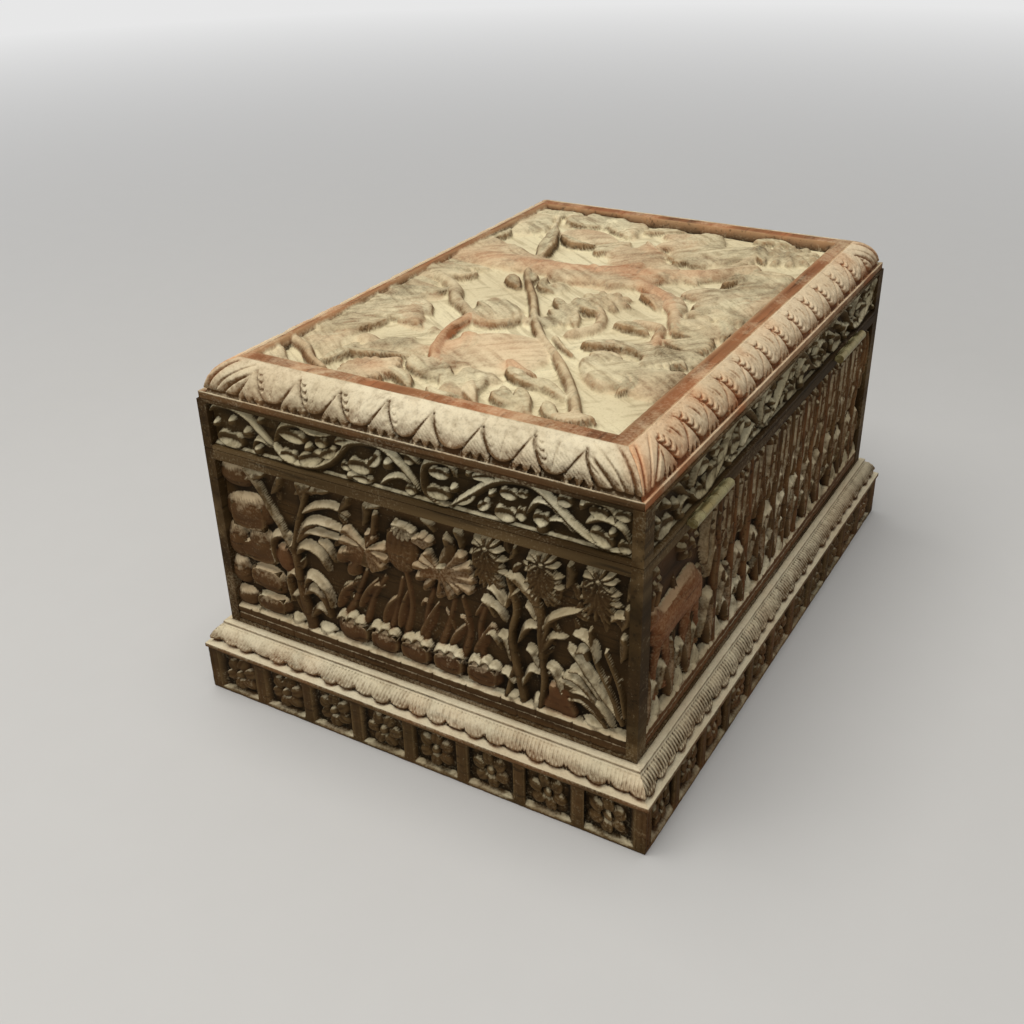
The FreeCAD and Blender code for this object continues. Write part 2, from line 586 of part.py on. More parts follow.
def makeHingeLeaf(label, hand, owned, up):
    """One leaf of a butt hinge in its own frame: the pin's axis is X, the leaf lies towards -Y.
    owned lists the knuckles that belong to this leaf, counted from the middle."""
    body = newBody(label)
    level = "(lidGap / 2)" if up else "(-lidGap / 2 - leafThickness)"
    plate = newSketch(body, "plate_outline", "XY_Plane", level)
    inner = "-(hingeAxisOffset + leafWidth)"
    addOutline(plate, rectangle("(-hingeLength / 2)", inner, "(hingeLength / 2)", "(-hingeAxisOffset)"))
    addFeature(body, "Pad", "plate", plate, "leafThickness")
    tabs = newSketch(body, "tab_outlines", "XY_Plane", level)
    half = f"({knucklePitch} / 2 - knuckleGap / 2)"
    for step in owned:
        middle = f"({step} * {knucklePitch})"
        addOutline(tabs, rectangle(f"({middle} - {half})", "(-hingeAxisOffset - leafThickness)",
                                   f"({middle} + {half})", "0"))
    addFeature(body, "Pad", "tabs", tabs, "leafThickness")
    for number, step in enumerate(owned, start=1):
        ring = newSketch(body, f"knuckle_circle_{number}", "YZ_Plane", f"({step} * {knucklePitch})")
        addCircle(ring, "0", "0", knuckleRadius)
        addFeature(body, "Pad", f"knuckle_{number}", ring, f"({knucklePitch} - knuckleGap)", side="Symmetric")
    bore = newSketch(body, "bore_outline", "YZ_Plane")
    addOutline(bore, regular("0", "0", pinBore, "boreFacets"))
    addFeature(body, "Pocket", "bore", bore, "(hingeLength + overrun)", side="Symmetric")
    places = [(f"({step} * screwPitch)", "-(hingeAxisOffset + screwInset)")
              for step in stepsAbout("screwCount")]
    cutHoles(body, "screw_holes", level, places, screwBore, "screwFacets", "leafThickness", True)
    cutHoles(body, "screw_head_seats", "(lidGap / 2)" if up else "(-lidGap / 2)", places,
             "(screwHead / 2 + pinClearance)", "screwFacets", "screwHeadDepth", up)
    setHinge(body, hand)


def setHinge(piece, hand):
    """Puts a hinge piece on the hinge axis behind the back face."""
    piece.setExpression("Placement.Base.x", bound(f"({hand} * {hingeReach})"))
    piece.setExpression("Placement.Base.y", bound(f"({halfWidth} + hingeAxisOffset)"))
    piece.setExpression("Placement.Base.z", bound("splitHeight"))


def makeHingePin(label, hand):
    body = newBody(label)
    section = newSketch(body, "pin_circle", "YZ_Plane")
    addCircle(section, "0", "0", "(hingePinDiameter / 2)")
    addFeature(body, "Pad", "pin", section, "hingeLength", side="Symmetric")
    setHinge(body, hand)


def taperedBar(facets, startWidth, finishWidth, start, finish):
    """A bar along Z with equal flats, from one width across flats and level to another."""
    outlines = []
    for width, level in ((startWidth, start), (finishWidth, finish)):
        corners = [vector(across * value(width) / 2, up * value(width) / 2, value(level))
                   for across, up in flatShares(facets)]
        outlines.append(Part.makePolygon(corners + corners[:1]))
    return Part.makeLoft(outlines, True, True)


def screwShape(up):
    """A slotted screw with a tapered head, the face of the head at the origin."""
    way = "1" if up else "-1"
    neck = f"({way} * screwHeadDepth)"
    head = taperedBar("screwFacets", "screwHead", "screwShank", "0", neck)
    shank = taperedBar("screwFacets", "screwShank", "screwShank", neck, f"({way} * screwLength)")
    slot = Part.makeBox(value("screwHead + overrun"), value("slotWidth"), value("2 * slotDepth"))
    slot.translate(vector(-value("screwHead + overrun") / 2, -value("slotWidth") / 2, -value("slotDepth")))
    return head.fuse(shank).cut(slot).removeSplitter()


def nailShape():
    """A square nail, driven upwards, with the face of its head at the origin."""
    head = taperedBar(nailFacets, "nailHead", "nailHead", "0", "nailHeadDepth")
    shank = taperedBar(nailFacets, "nailShank", "nailPoint", "nailHeadDepth", "nailLength")
    return head.fuse(shank)


def makeHingeScrews(label, up):
    """The screws of the leaves on one side of the joint, as one group."""
    group = doc.addObject("Part::Feature", label)
    group.Label = label
    level = value(lidBottom if up else bodyTop)
    y = value(f"{halfWidth} - screwInset")
    copies = []
    for x in hingePlaces():
        screw = screwShape(up)
        screw.translate(vector(value(x), y, level))
        copies.append(screw)
    group.Shape = Part.makeCompound(copies)


def makeNails(places):
    """The nails that hold the bottom board up to the walls, as one group."""
    group = doc.addObject("Part::Feature", "bottom_board_nails")
    group.Label = "bottom_board_nails"
    copies = []
    for x, y in places:
        nail = nailShape()
        nail.translate(vector(value(x), value(y), value("plinthHeight")))
        copies.append(nail)
    group.Shape = Part.makeCompound(copies)


for side in sides:
    makePlinthRail(*side)
    makeBaseMoulding(*side)
    makeBodyWall(*side)
    makeLidWall(*side)
    makeLidMoulding(*side)
nailsAt = makeBottomBoard()
makeNails(nailsAt)
makeTopPanel()
steps = stepsAbout("knuckleCount")
for word, hand in (("right", 1), ("left", -1)):
    makeHingeLeaf(f"hinge_{word}_body_leaf", hand, steps[::2], False)
    makeHingeLeaf(f"hinge_{word}_lid_leaf", hand, steps[1::2], True)
    makeHingePin(f"hinge_{word}_pin", hand)
makeHingeScrews("hinge_body_screws", False)
makeHingeScrews("hinge_lid_screws", True)
doc.recompute()

# Nothing is written unless every object and every solid is sound
pieces = [item for item in doc.Objects if item.isDerivedFrom("PartDesign::Body")
          or item.TypeId == "Part::Feature"]
for item in doc.Objects:
    if "Invalid" in item.State or "Error" in item.State:
        raise RuntimeError(f"{item.Label} did not build: {item.State}")
for piece in pieces:
    if piece.Shape.isNull() or not piece.Shape.isValid() or not piece.Shape.Solids:
        raise RuntimeError(f"{piece.Label} has no sound solid")

os.makedirs("parts", exist_ok=True)
for piece in pieces:
    piece.Shape.exportStep(f"parts/{piece.Label}.step")
    box = piece.Shape.BoundBox
    print(f"{piece.Label}: {len(piece.Shape.Solids)} solids, {piece.Shape.Volume:.1f} mm3, "
          f"{box.XLength:.1f} x {box.YLength:.1f} x {box.ZLength:.1f}")
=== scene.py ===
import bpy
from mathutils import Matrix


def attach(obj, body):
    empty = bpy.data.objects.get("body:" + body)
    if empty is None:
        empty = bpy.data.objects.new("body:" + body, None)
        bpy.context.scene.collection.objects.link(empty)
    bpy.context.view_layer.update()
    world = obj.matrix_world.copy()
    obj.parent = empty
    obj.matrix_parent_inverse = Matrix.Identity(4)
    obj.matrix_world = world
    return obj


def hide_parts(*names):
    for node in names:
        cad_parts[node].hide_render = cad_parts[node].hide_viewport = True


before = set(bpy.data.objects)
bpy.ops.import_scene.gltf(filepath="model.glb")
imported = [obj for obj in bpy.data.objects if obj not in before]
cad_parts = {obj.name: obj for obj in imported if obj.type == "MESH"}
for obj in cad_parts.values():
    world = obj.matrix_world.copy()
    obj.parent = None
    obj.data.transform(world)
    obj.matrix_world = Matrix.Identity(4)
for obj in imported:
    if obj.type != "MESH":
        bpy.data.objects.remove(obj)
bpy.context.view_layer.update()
print("frame loaded,", len(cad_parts), "nodes")

import math

import bpy
import numpy as np
from mathutils import Matrix

millimetre = 0.001

# Half length and half width of the box over its walls, in millimetres
bodyHalf = {"length": 150.0, "width": 106.0}

# The four sides: half length, distance from the middle, turn about Z in degrees, and the hand of the carving,
# which is mirrored on the two sides that the photo hides
longSide = {"half": bodyHalf["length"], "reach": bodyHalf["width"], "kind": "long"}
endSide = {"half": bodyHalf["width"], "reach": bodyHalf["length"], "kind": "end"}
sides = {
    "front": dict(longSide, angle=0, hand=-1),
    "back": dict(longSide, angle=180, hand=1),
    "right_end": dict(endSide, angle=90, hand=1),
    "left_end": dict(endSide, angle=-90, hand=-1),
}


# Numbers on grids
def smoothStep(low, high, field):
    # 3s^2 - 2s^3 of the share s between low and high
    share = np.clip((field - low) / (high - low), 0, 1)
    return share * share * (3 - 2 * share)


noiseLattice = np.random.RandomState(11).uniform(-1, 1, (256, 256))


def mottle(u, v, cell, shift=0):
    # value noise: the four corners of a lattice cell, blended by smooth shares of the cell
    x, y = u / cell + 37.3 * shift + 90.5, v / cell + 17.9 * shift + 70.5
    column, row = np.floor(x).astype(int), np.floor(y).astype(int)
    across, up = smoothStep(0, 1, x - column), smoothStep(0, 1, y - row)
    at = lambda i, j: noiseLattice[(row + j) % 256, (column + i) % 256]
    low = at(0, 0) * (1 - across) + at(1, 0) * across
    high = at(0, 1) * (1 - across) + at(1, 1) * across
    return low * (1 - up) + high * up


def softened(field, cells):
    # mean over a square window of 2 * cells + 1, taken twice each way, edges carried on
    width = 2 * cells + 1
    for turn in range(2):
        for axis in (0, 1):
            pad = [(0, 0), (0, 0)]
            pad[axis] = (cells + 1, cells)
            total = np.cumsum(np.pad(field, pad, mode="edge"), axis=axis)
            ahead = np.take(total, range(width, total.shape[axis]), axis=axis)
            behind = np.take(total, range(0, total.shape[axis] - width), axis=axis)
            field = (ahead - behind) / width
    return field


def smoothPath(points, parts=7):
    # Catmull-Rom: every stretch is a cubic through its two ends, pulled by its neighbours
    points = np.asarray(points, float)
    ends = np.vstack([2 * points[0] - points[1], points, 2 * points[-1] - points[-2]])
    a, b, c, d = ends[:-3], ends[1:-2], ends[2:-1], ends[3:]
    s = np.linspace(0, 1, parts, endpoint=False)[:, None, None]
    curve = 0.5 * (2 * b + (c - a) * s + (2 * a - 5 * b + 4 * c - d) * s ** 2
                   + (3 * b - a - 3 * c + d) * s ** 3)
    return np.vstack([curve.transpose(1, 0, 2).reshape(-1, 2), points[-1:]])


def alongPath(curve, u, v):
    # share of the path's length at its nearest place, and the distance from it, left counted positive
    start, run = curve[:-1], np.diff(curve, axis=0)
    length = np.hypot(run[:, 0], run[:, 1]) + 1e-9
    before = np.concatenate([[0], np.cumsum(length)[:-1]])
    du, dv = u[..., None] - start[:, 0], v[..., None] - start[:, 1]
    share = np.clip((du * run[:, 0] + dv * run[:, 1]) / length ** 2, 0, 1)
    away = (du - share * run[:, 0]) ** 2 + (dv - share * run[:, 1]) ** 2
    nearest = away.argmin(-1)[..., None]
    take = lambda values: np.take_along_axis(values, nearest, -1)[..., 0]
    cross = take(run[:, 0] * dv - run[:, 1] * du)
    along = before[nearest[..., 0]] + take(share) * length[nearest[..., 0]]
    return along / length.sum(), np.sqrt(take(away)) * np.where(cross < 0, -1, 1), length.sum()


class Relief:
    # A carved field: u runs across, v up, height is measured from the sunk ground
    def __init__(self, us, vs, hand=1, turned=False):
        self.us, self.vs, self.hand, self.turned = np.asarray(us), np.asarray(vs), hand, turned
        self.u, self.v = np.meshgrid(self.us, self.vs)
        self.height = np.zeros_like(self.u)
        self.tone = np.zeros_like(self.u)
        self.dust = np.zeros_like(self.u)

    def faced(self, points):
        # a layout's points in the field's own directions
        points = np.atleast_2d(np.asarray(points, float))
        if self.turned:
            points = points[:, ::-1]
        return points * (self.hand, 1)

    def near(self, points, reach):
        low, high = points.min(0) - reach, points.max(0) + reach
        rows = slice(*np.searchsorted(self.vs, (low[1], high[1])))
        columns = slice(*np.searchsorted(self.us, (low[0], high[0])))
        return rows, columns

    def lay(self, window, height, tone=0.0, dust=0.0):
        # where surfaces overlap, the higher one is seen; a window off the field is empty and lays nothing
        over = height > self.height[window]
        for field, new in ((self.height, height), (self.tone, tone), (self.dust, dust)):
            field[window] = np.where(over, new, field[window])


carving = {
    "edgeRun": 0.55,      # how far a shape's edge takes to fall to the ground
    "tooth": 0.1,         # how far a leaf's teeth cut into its outline
    "tipDrop": 0.25,      # how much lower a leaf's tip lies than its foot
    "leafBlunt": 0.7,     # how full a leaf's outline is
    "leafFat": 0.75,      # how near to its foot a leaf is widest
    "veinCut": 0.26,      # depth of a leaf's slanting veins
    "ribCut": 0.6,        # depth and width of the cut along its middle
    "ribWidth": 0.5,
    "strokePitch": 2.3,   # chisel strokes on stems and ground
    "strokeCut": 0.16,
    "groundStroke": 0.14,
    # the last of the four values is painted shade, which darkens these faces
    "plainLook": (0.04, 0.05, 0.12, 0.4),   # dust, wear, redness and shade of faces that are not carved
    "backLook": (0.1, 0.0, 0.2, 0.3),       # the same for the back of a moulding
}


def leaf(relief, points, width, height, teeth=7, lean=0.0, tone=0.0, dust=0.0):
    # half width w = sin(pi s^fat)^blunt with saw teeth; two swellings beside a midrib, and slanting veins
    curve = smoothPath(relief.faced(points))
    window = relief.near(curve, width * 0.7)
    share, side, length = alongPath(curve, relief.u[window], relief.v[window])
    side = side * relief.hand * (-1 if relief.turned else 1)
    saw = 1 - carving["tooth"] * ((share * teeth) % 1.0)
    outline = np.sin(np.pi * np.clip(share, 0.004, 0.996) ** carving["leafFat"]) ** carving["leafBlunt"]
    half = width / 2 * outline * saw + 0.02
    across = np.abs(side) / half
    body = np.clip((half - np.abs(side)) / carving["edgeRun"], 0, 1)
    swell = np.sqrt(np.clip(1 - (2.0 * across - 0.95) ** 2, 0, 1))
    vein = np.abs((share * teeth + 0.3 * across) % 1.0 - 0.5) * 2
    cut = carving["veinCut"] * smoothStep(0.72, 1, vein) * smoothStep(0.1, 0.35, across)
    rib = carving["ribCut"] * np.exp(-(side / carving["ribWidth"]) ** 2) * smoothStep(0.02, 0.2, share)
    tilt = (1 + 0.3 * lean * np.clip(side / half, -1, 1)) * (1 - carving["tipDrop"] * share ** 2)
    surface = height * (0.72 + 0.28 * swell) * tilt
    relief.lay(window, (surface - cut - rib) * body, tone, dust)


def closedPath(relief, outline):
    # the smooth curve through an outline's corners, its last point the same as its first
    points, parts = relief.faced(outline), 5
    return smoothPath(np.vstack([points[-1:], points, points[:2]]), parts)[parts:-parts]


def depthInside(curve, u, v):
    # distance from the closed curve, positive where a ray to the right crosses it an odd number of times
    share, side, length = alongPath(curve, u, v)
    x, y = curve[:-1].T
    nextX, nextY = curve[1:].T
    u, v = u[..., None], v[..., None]
    crossing = x + (v - y) * (nextX - x) / np.where(nextY == y, 1e-9, nextY - y)
    inside = (((y > v) != (nextY > v)) & (u < crossing)).sum(-1) % 2 == 1
    return np.where(inside, 1, -1) * np.abs(side)


def mass(relief, outline, height, turn=30.0, tone=0.0, dust=0.0, edge=0.7, crown=0.34, wander=0.9,
         hatch=0.7):
    # a broad leafy shape: h (1 - c + c s) with s rising over its border, an uneven edge and slanting folds
    curve = closedPath(relief, outline)
    window = relief.near(curve, 1.5)
    u, v = relief.u[window], relief.v[window]
    depth = depthInside(curve, u, v) + wander * mottle(u, v, 4.5, 13)
    angle = math.radians(turn)
    fold = (u * math.cos(angle) + v * math.sin(angle)) / 4.2 + 0.8 * mottle(u, v, 11, 14)
    line = np.abs(fold % 1.0 - 0.5) * 2
    swell = 0.2 * height * mottle(u, v, 7.5, 15)
    surface = height * (1 - crown + crown * smoothStep(0, 6, depth)) + swell
    surface = surface - hatch * smoothStep(0.5, 1, line)
    soft = edge * (1 + 2.4 * smoothStep(-0.2, 0.7, mottle(u, v, 10, 16)))
    tone = np.clip(tone + 0.3 * mottle(u, v, 13, 17), 0, 1)
    relief.lay(window, surface * smoothStep(0, 1, depth / soft), tone,
               dust - 0.12 * np.abs(mottle(u, v, 5, 18)))


def keepAbove(relief, outline, height):
    # nothing is cut lower than a form that the wall itself already has
    points = relief.faced(outline)
    curve = np.vstack([points, points[:1]])
    window = relief.near(curve, 2.5)
    depth = depthInside(curve, relief.u[window], relief.v[window])
    floor = height * smoothStep(-1.3, -0.5, depth)
    relief.height[window] = np.maximum(relief.height[window], floor)


def stem(relief, points, start, finish, height, tone=0.0, dust=0.0, strokes=1.0, sharp=0.5):
    # a round bar whose half width runs from start to finish: h * (1 - (d / w)^2)^sharp, cut by long strokes
    curve = smoothPath(relief.faced(points))
    window = relief.near(curve, max(start, finish) + 0.5)
    u, v = relief.u[window], relief.v[window]
    share, side, length = alongPath(curve, u, v)
    half = (start + (finish - start) * share) * (1 + 0.1 * mottle(share * length, side, 5.0, 3))
    crown = np.clip(1 - (side / half) ** 2, 0, 1) ** sharp
    groove = strokes * carving["strokeCut"] * (1 + mottle(share * length / 6, side * 1.6, 1.0, 5))
    relief.lay(window, (height - groove) * crown, tone, dust)


def dome(relief, centre, radii, height, turn=0.0, ribs=0, strokes=0.0, tone=0.0, dust=0.0, sharp=0.5,
         square=2.0, powder=0.0):
    # h * (1 - |x|^k - |y|^k)^sharp over an ellipse; ribs run as meridians, strokes straight across,
    # powder lies on its upper part
    centre = relief.faced(centre)[0]
    window = relief.near(centre[None], max(radii) + 1)
    u, v = relief.u[window] - centre[0], relief.v[window] - centre[1]
    if relief.turned:
        u, v = v, u
    angle = math.radians(turn)
    x = (u * relief.hand * math.cos(angle) + v * math.sin(angle)) / radii[0]
    y = (-u * relief.hand * math.sin(angle) + v * math.cos(angle)) / radii[1]
    crown = np.clip(1 - np.abs(x) ** square - np.abs(y) ** square, 0, 1) ** sharp
    surface = height * crown
    if ribs:
        meridian = np.arcsin(np.clip(x / np.sqrt(np.clip(1 - y * y, 0.02, 1)), -1, 1)) / np.pi * ribs
        surface = surface - 0.55 * np.exp(-((meridian % 1.0 - 0.5) / 0.13) ** 2) * smoothStep(0, 0.35, crown)
    if strokes:
        line = np.abs((x * radii[0] * 0.8 + y * radii[1] * 0.6) / 1.25 % 1.0 - 0.5)
        surface = surface - strokes * (0.5 - line) * smoothStep(0, 0.4, crown)
    if powder:
        dust = dust + powder * smoothStep(0.1, 0.85,
                                          y + 0.25 * mottle(relief.u[window], relief.v[window], 1.7, 12))
    relief.lay(window, surface, tone, dust)


def cup(relief, centre, radii, height, turn=0.0, dust=0.0, powder=0.5):
    # a hollowed leaf, open at its upper side: h (0.35 + 0.65 r^2) out to its lip, powder in the low part
    centre = relief.faced(centre)[0]
    window = relief.near(centre[None], max(radii) + 1)
    u, v = (relief.u[window] - centre[0]) * relief.hand, relief.v[window] - centre[1]
    angle = math.radians(turn)
    x = (u * math.cos(angle) + v * math.sin(angle)) / radii[0]
    y = (-u * math.sin(angle) + v * math.cos(angle)) / radii[1]
    away = np.sqrt(x * x + y * y)
    gape = smoothStep(0.75, 0.3, y - 0.45 * np.abs(x))
    body = np.clip((1 - away) * min(radii) / carving["edgeRun"], 0, 1) * gape
    low = smoothStep(0.25, -0.35, y) * smoothStep(1.0, 0.75, away)
    relief.lay(window, height * (0.35 + 0.65 * away ** 2) * body, 0.0, dust + powder * low)


def fan(relief, base, direction, spread, radius, lobes, height, tone=0.0, dust=0.0, cut=0.8):
    # ribs spread from a base: edge radius and height follow |cos| of the angle, one arch for each lobe
    base = relief.faced(base)[0]
    window = relief.near(base[None], radius + 1)
    u, v = relief.u[window] - base[0], relief.v[window] - base[1]
    if relief.turned:
        u, v = v, u
    away = np.hypot(u, v) + 1e-6
    angle = np.arctan2(v, u * relief.hand) - math.radians(direction)
    angle = (angle + np.pi) % (2 * np.pi) - np.pi
    phase = angle / math.radians(spread) * lobes
    wave = np.abs(np.cos(np.pi * (phase + (0 if lobes % 2 else 0.5))))
    arch = np.sqrt(wave)
    edge = radius * (0.84 + 0.16 * arch) * (0.8 + 0.2 * np.cos(angle * 1.1))
    inside = np.clip((edge - away) / 0.6, 0, 1) * (np.abs(phase) < lobes / 2)
    groove = cut * (1 - wave ** 0.8) * smoothStep(0.1, 0.5, away / radius)
    surface = height * (0.75 + 0.25 * away / radius) - groove
    relief.lay(window, surface * inside, tone, dust)


def blossom(relief, centre, radius, height, rings, heart=0.2, tone=0.0, dust=0.0):
    # rings of small petals (count, distance, size): each petal is a dome that points away from the heart
    dome(relief, centre, (radius * 0.85, radius * 0.85), height * 0.62, tone=tone, dust=dust)
    for number, (count, place, size) in enumerate(rings):
        for index in range(count):
            angle = 2 * math.pi * (index + 0.5 * number) / count
            at = (centre[0] + radius * place * math.cos(angle), centre[1] + radius * place * math.sin(angle))
            dome(relief, at, (radius * size, radius * size * 0.62), height * (0.8 + 0.13 * number),
                 turn=math.degrees(angle), tone=tone, dust=dust, sharp=0.4)
    dome(relief, centre, (radius * heart, radius * heart), height, tone=tone, dust=dust)


def boulder(relief, centre, width, height, stand, shift, tone):
    # a rounded block with a roughened face
    dome(relief, centre, (width / 2, height / 2), stand, turn=9 * math.sin(shift * 2.1), strokes=0.5,
         tone=tone, sharp=0.8, square=2.2, powder=0.36)


def sickle(relief, points, width, height, tone=0.0, dust=0.0, drop=0.42, under=0.0, scallops=0, blunt=0.6,
           powder=0.0):
    # a curved blade with one sharp ridge: h (1 - k |s + r| / (1 + |r|)), s across it and upwards, r the
    # ridge's place below its middle; powder lies above the ridge, scallops bite the edge
    curve = smoothPath(relief.faced(points))
    window = relief.near(curve, width)
    share, side, length = alongPath(curve, relief.u[window], relief.v[window])
    upward = side * (1 if curve[-1, 0] >= curve[0, 0] else -1)
    bite = 1 - 0.2 * np.abs(np.sin(np.pi * share * scallops)) * (upward < 0) if scallops else 1.0
    half = width / 2 * np.sin(np.pi * np.clip(share, 0.004, 0.996) ** 0.7) ** blunt * bite + 0.02
    across = np.clip(upward / half, -1, 1)
    body = np.clip((half - np.abs(side)) / carving["edgeRun"], 0, 1)
    fall = np.abs(across + under) / (1 + np.abs(under))
    facet = smoothStep(-under - 0.1, -under + 0.15, across)
    relief.lay(window, height * (1 - drop * fall) * body, tone, dust + powder * (facet - 0.25))


def limbs(relief, bars, height, tone=0.0, dust=0.0):
    # a body from round bars: the nearest surface of all of them, blended where they meet
    ends = relief.faced([point for bar in bars for point in bar[:2]])
    window = relief.near(ends, 14)
    u, v = relief.u[window], relief.v[window]
    total = np.zeros_like(u)
    for number, (start, finish, startRadius, finishRadius) in enumerate(bars):
        share, side, length = alongPath(ends[2 * number:2 * number + 2], u, v)
        radius = startRadius + (finishRadius - startRadius) * share
        total += np.clip(1 - (side / radius) ** 2, 0, 1) ** 3 * (radius / 9) ** 2.2
    surface = height * np.clip(total, 0, 1.3) ** 0.22
    strokes = carving["strokeCut"] * mottle(u * 0.5 + v * 0.5, v * 2 - u, 2.0, 9)
    relief.lay(window, np.where(total > 0.0004, np.minimum(surface, height) - np.abs(strokes), 0), tone,
               dust)


def scatter(relief, count, seed, box, sizes, height):
    # small leaves that fill a region, in a fixed random order, each within 60 degrees of upright
    chance = np.random.RandomState(seed)
    for index in range(count):
        u, v = chance.uniform(box[0], box[1]), chance.uniform(box[2], box[3])
        angle = math.radians(90 + chance.uniform(-60, 60))
        length = chance.uniform(*sizes)
        bend = chance.uniform(-0.25, 0.25) * length
        du, dv = length * math.cos(angle), length * math.sin(angle)
        middle = (u + du / 2 - bend * math.sin(angle), v + dv / 2 + bend * math.cos(angle))
        path = [(u, v), middle, (u + du, v + dv)]
        leaf(relief, path, length * chance.uniform(0.34, 0.5), height * chance.uniform(0.7, 1), teeth=5,
             lean=chance.uniform(-0.6, 0.6))


# Meshes
def facingUp(points):
    # upward part of a grid's unit normal, from the cross product of its two directions
    across, up = np.gradient(points, axis=1), np.gradient(points, axis=0)
    normal = np.cross(across, up)
    return normal[..., 2] / (np.linalg.norm(normal, axis=-1) + 1e-12)


def weatheredAndShaded(points, height, tone, dust, recipe, shift=0):
    # dust lies on upward faces, ridges are rubbed; hollows and the feet of steep sides get painted shade
    u, v = np.meshgrid(*(np.arange(count) * recipe["cell"] for count in height.shape[::-1]))
    near, far = softened(height, recipe["near"]), softened(height, recipe["far"])
    ridge, hollow = np.clip(height - near, 0, 1), np.clip(far - height, 0, 3)
    up = smoothStep(recipe["upLow"], recipe["upHigh"], facingUp(points))
    patch = mottle(u, v, 14, shift) * 0.6 + mottle(u, v, 3.2, shift + 1) * 0.4
    raised = smoothStep(0.8, 2.6, height) * recipe["raisedLoss"]
    # a recipe shifts the dust in hollows; the mouldings take it away there, which paints their hollows darker
    # as shade
    settled = up * (1 - raised) * recipe["onTop"] + np.clip(hollow, 0, 1) * recipe["hollowDustAndShade"]
    dustField = recipe["film"] + settled - ridge * recipe["ridgeLoss"] + dust + recipe["patches"] * patch
    wear = np.clip(ridge * recipe["rub"] * (1 + 0.5 * patch), 0, 1)
    # painted shade: darker where the surface lies below its surroundings, less so on upward faces
    shade = smoothStep(recipe["shadeFrom"], recipe["shadeTo"], hollow) * recipe["shade"] * (1 - 0.6 * up)
    redness = np.clip(tone + recipe["redness"] + 0.25 * patch * recipe["redness"], 0, 1)
    return np.stack([np.clip(dustField, 0, 1), wear, redness, np.clip(shade, 0, 1)], axis=-1)


def turned(points, angle):
    # turn about Z by the side's angle
    angle = math.radians(angle)
    x = points[..., 0] * math.cos(angle) - points[..., 1] * math.sin(angle)
    y = points[..., 0] * math.sin(angle) + points[..., 1] * math.cos(angle)
    return np.stack([x, y, points[..., 2]], axis=-1)


def makeMesh(name, vertices, quads, rings, look, material, body, nodes=()):
    # vertices in millimetres; quads as rows of four, rings as the closing faces with many corners
    mesh = bpy.data.meshes.new(name)
    mesh.vertices.add(len(vertices))
    mesh.vertices.foreach_set("co", (vertices * millimetre).astype(np.float32).ravel())
    loops = np.concatenate([quads.ravel()] + [np.asarray(ring) for ring in rings]).astype(np.int32)
    sizes = np.concatenate([np.full(len(quads), 4), [len(ring) for ring in rings]]).astype(np.int32)
    mesh.loops.add(len(loops))
    mesh.loops.foreach_set("vertex_index", loops)
    mesh.polygons.add(len(sizes))
    mesh.polygons.foreach_set("loop_start", np.concatenate([[0], np.cumsum(sizes)[:-1]]).astype(np.int32))
    mesh.polygons.foreach_set("use_smooth", np.arange(len(sizes)) < len(quads))
    mesh.update(calc_edges=True)
    mesh.validate()
    layer = mesh.attributes.new("look", "FLOAT_COLOR", "POINT")
    layer.data.foreach_set("color", look.astype(np.float32).ravel())
    mesh.materials.append(material)
    piece = bpy.data.objects.new(name, mesh)
    bpy.context.scene.collection.objects.link(piece)
    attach(piece, body)
    if nodes:
        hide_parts(*nodes)


def slab(name, points, foot, look, material, body, nodes=()):
    # a closed board: the grid is its face, its rim drops to the foot's points, one flat face closes it
    rows, columns = points.shape[:2]
    index = np.arange(rows * columns).reshape(rows, columns)
    a, b, c, d = index[:-1, :-1], index[:-1, 1:], index[1:, 1:], index[1:, :-1]
    quads = np.stack([a, b, c, d], axis=-1).reshape(-1, 4)
    rim = np.concatenate([index[0, :-1], index[:-1, -1], index[-1, :0:-1], index[:0:-1, 0]])
    lower = rows * columns + np.arange(len(rim))
    follow, lowerFollow = np.roll(rim, -1), np.roll(lower, -1)
    skirt = np.stack([lower, lowerFollow, follow, rim], axis=-1)
    flat = foot.reshape(-1, 3)[rim]
    lookFlat = look.reshape(-1, 4)
    plain = np.broadcast_to(carving["plainLook"], (len(rim), 4))
    makeMesh(name, np.vstack([points.reshape(-1, 3), flat]), np.vstack([quads, skirt]), [lower[::-1]],
             np.vstack([lookFlat, plain]), material, body, nodes)


def mitredRun(name, side, along, out, rise, cut, back, recipe, material, body, node, shift, tone,
              dust):
    # a profile (out, rise) carried along the side between two mitres: x = s (half + out), y = -(reach + out).
    # cut moves each point of the profile's seen part along its normal, and back closes the profile
    half, reach = side["half"], side["reach"]
    normalOut, normalRise = np.gradient(rise), -np.gradient(out)
    size = np.hypot(normalOut, normalRise)
    normalOut, normalRise = normalOut / size, normalRise / size
    outNow = out + normalOut * cut
    riseNow = rise + normalRise * cut
    face = np.stack([along[:, None] * (half + outNow), -(reach + outNow), riseNow], axis=-1)
    columns = len(along)
    backOut = np.broadcast_to(back[:, 0], (columns, len(back)))
    backRise = np.broadcast_to(back[:, 1], (columns, len(back)))
    behind = np.stack([along[:, None] * (half + backOut), -(reach + backOut), backRise], axis=-1)
    look = weatheredAndShaded(turned(face, side["angle"]).transpose(1, 0, 2), cut.T, tone.T, dust.T, recipe, shift)
    look = look.transpose(1, 0, 2)
    plain = np.broadcast_to(carving["backLook"], behind.shape[:2] + (4,))
    points = turned(np.concatenate([face, behind], axis=1), side["angle"])
    looks = np.concatenate([look, plain], axis=1)
    count = points.shape[1]
    index = np.arange(columns * count).reshape(columns, count)
    after = np.roll(index, -1, axis=1)
    quads = np.stack([index[:-1], index[1:], after[1:], after[:-1]], axis=-1).reshape(-1, 4)
    makeMesh(name, points.reshape(-1, 3), quads, [index[0], index[-1][::-1]], looks.reshape(-1, 4), material,
             body, (node,))


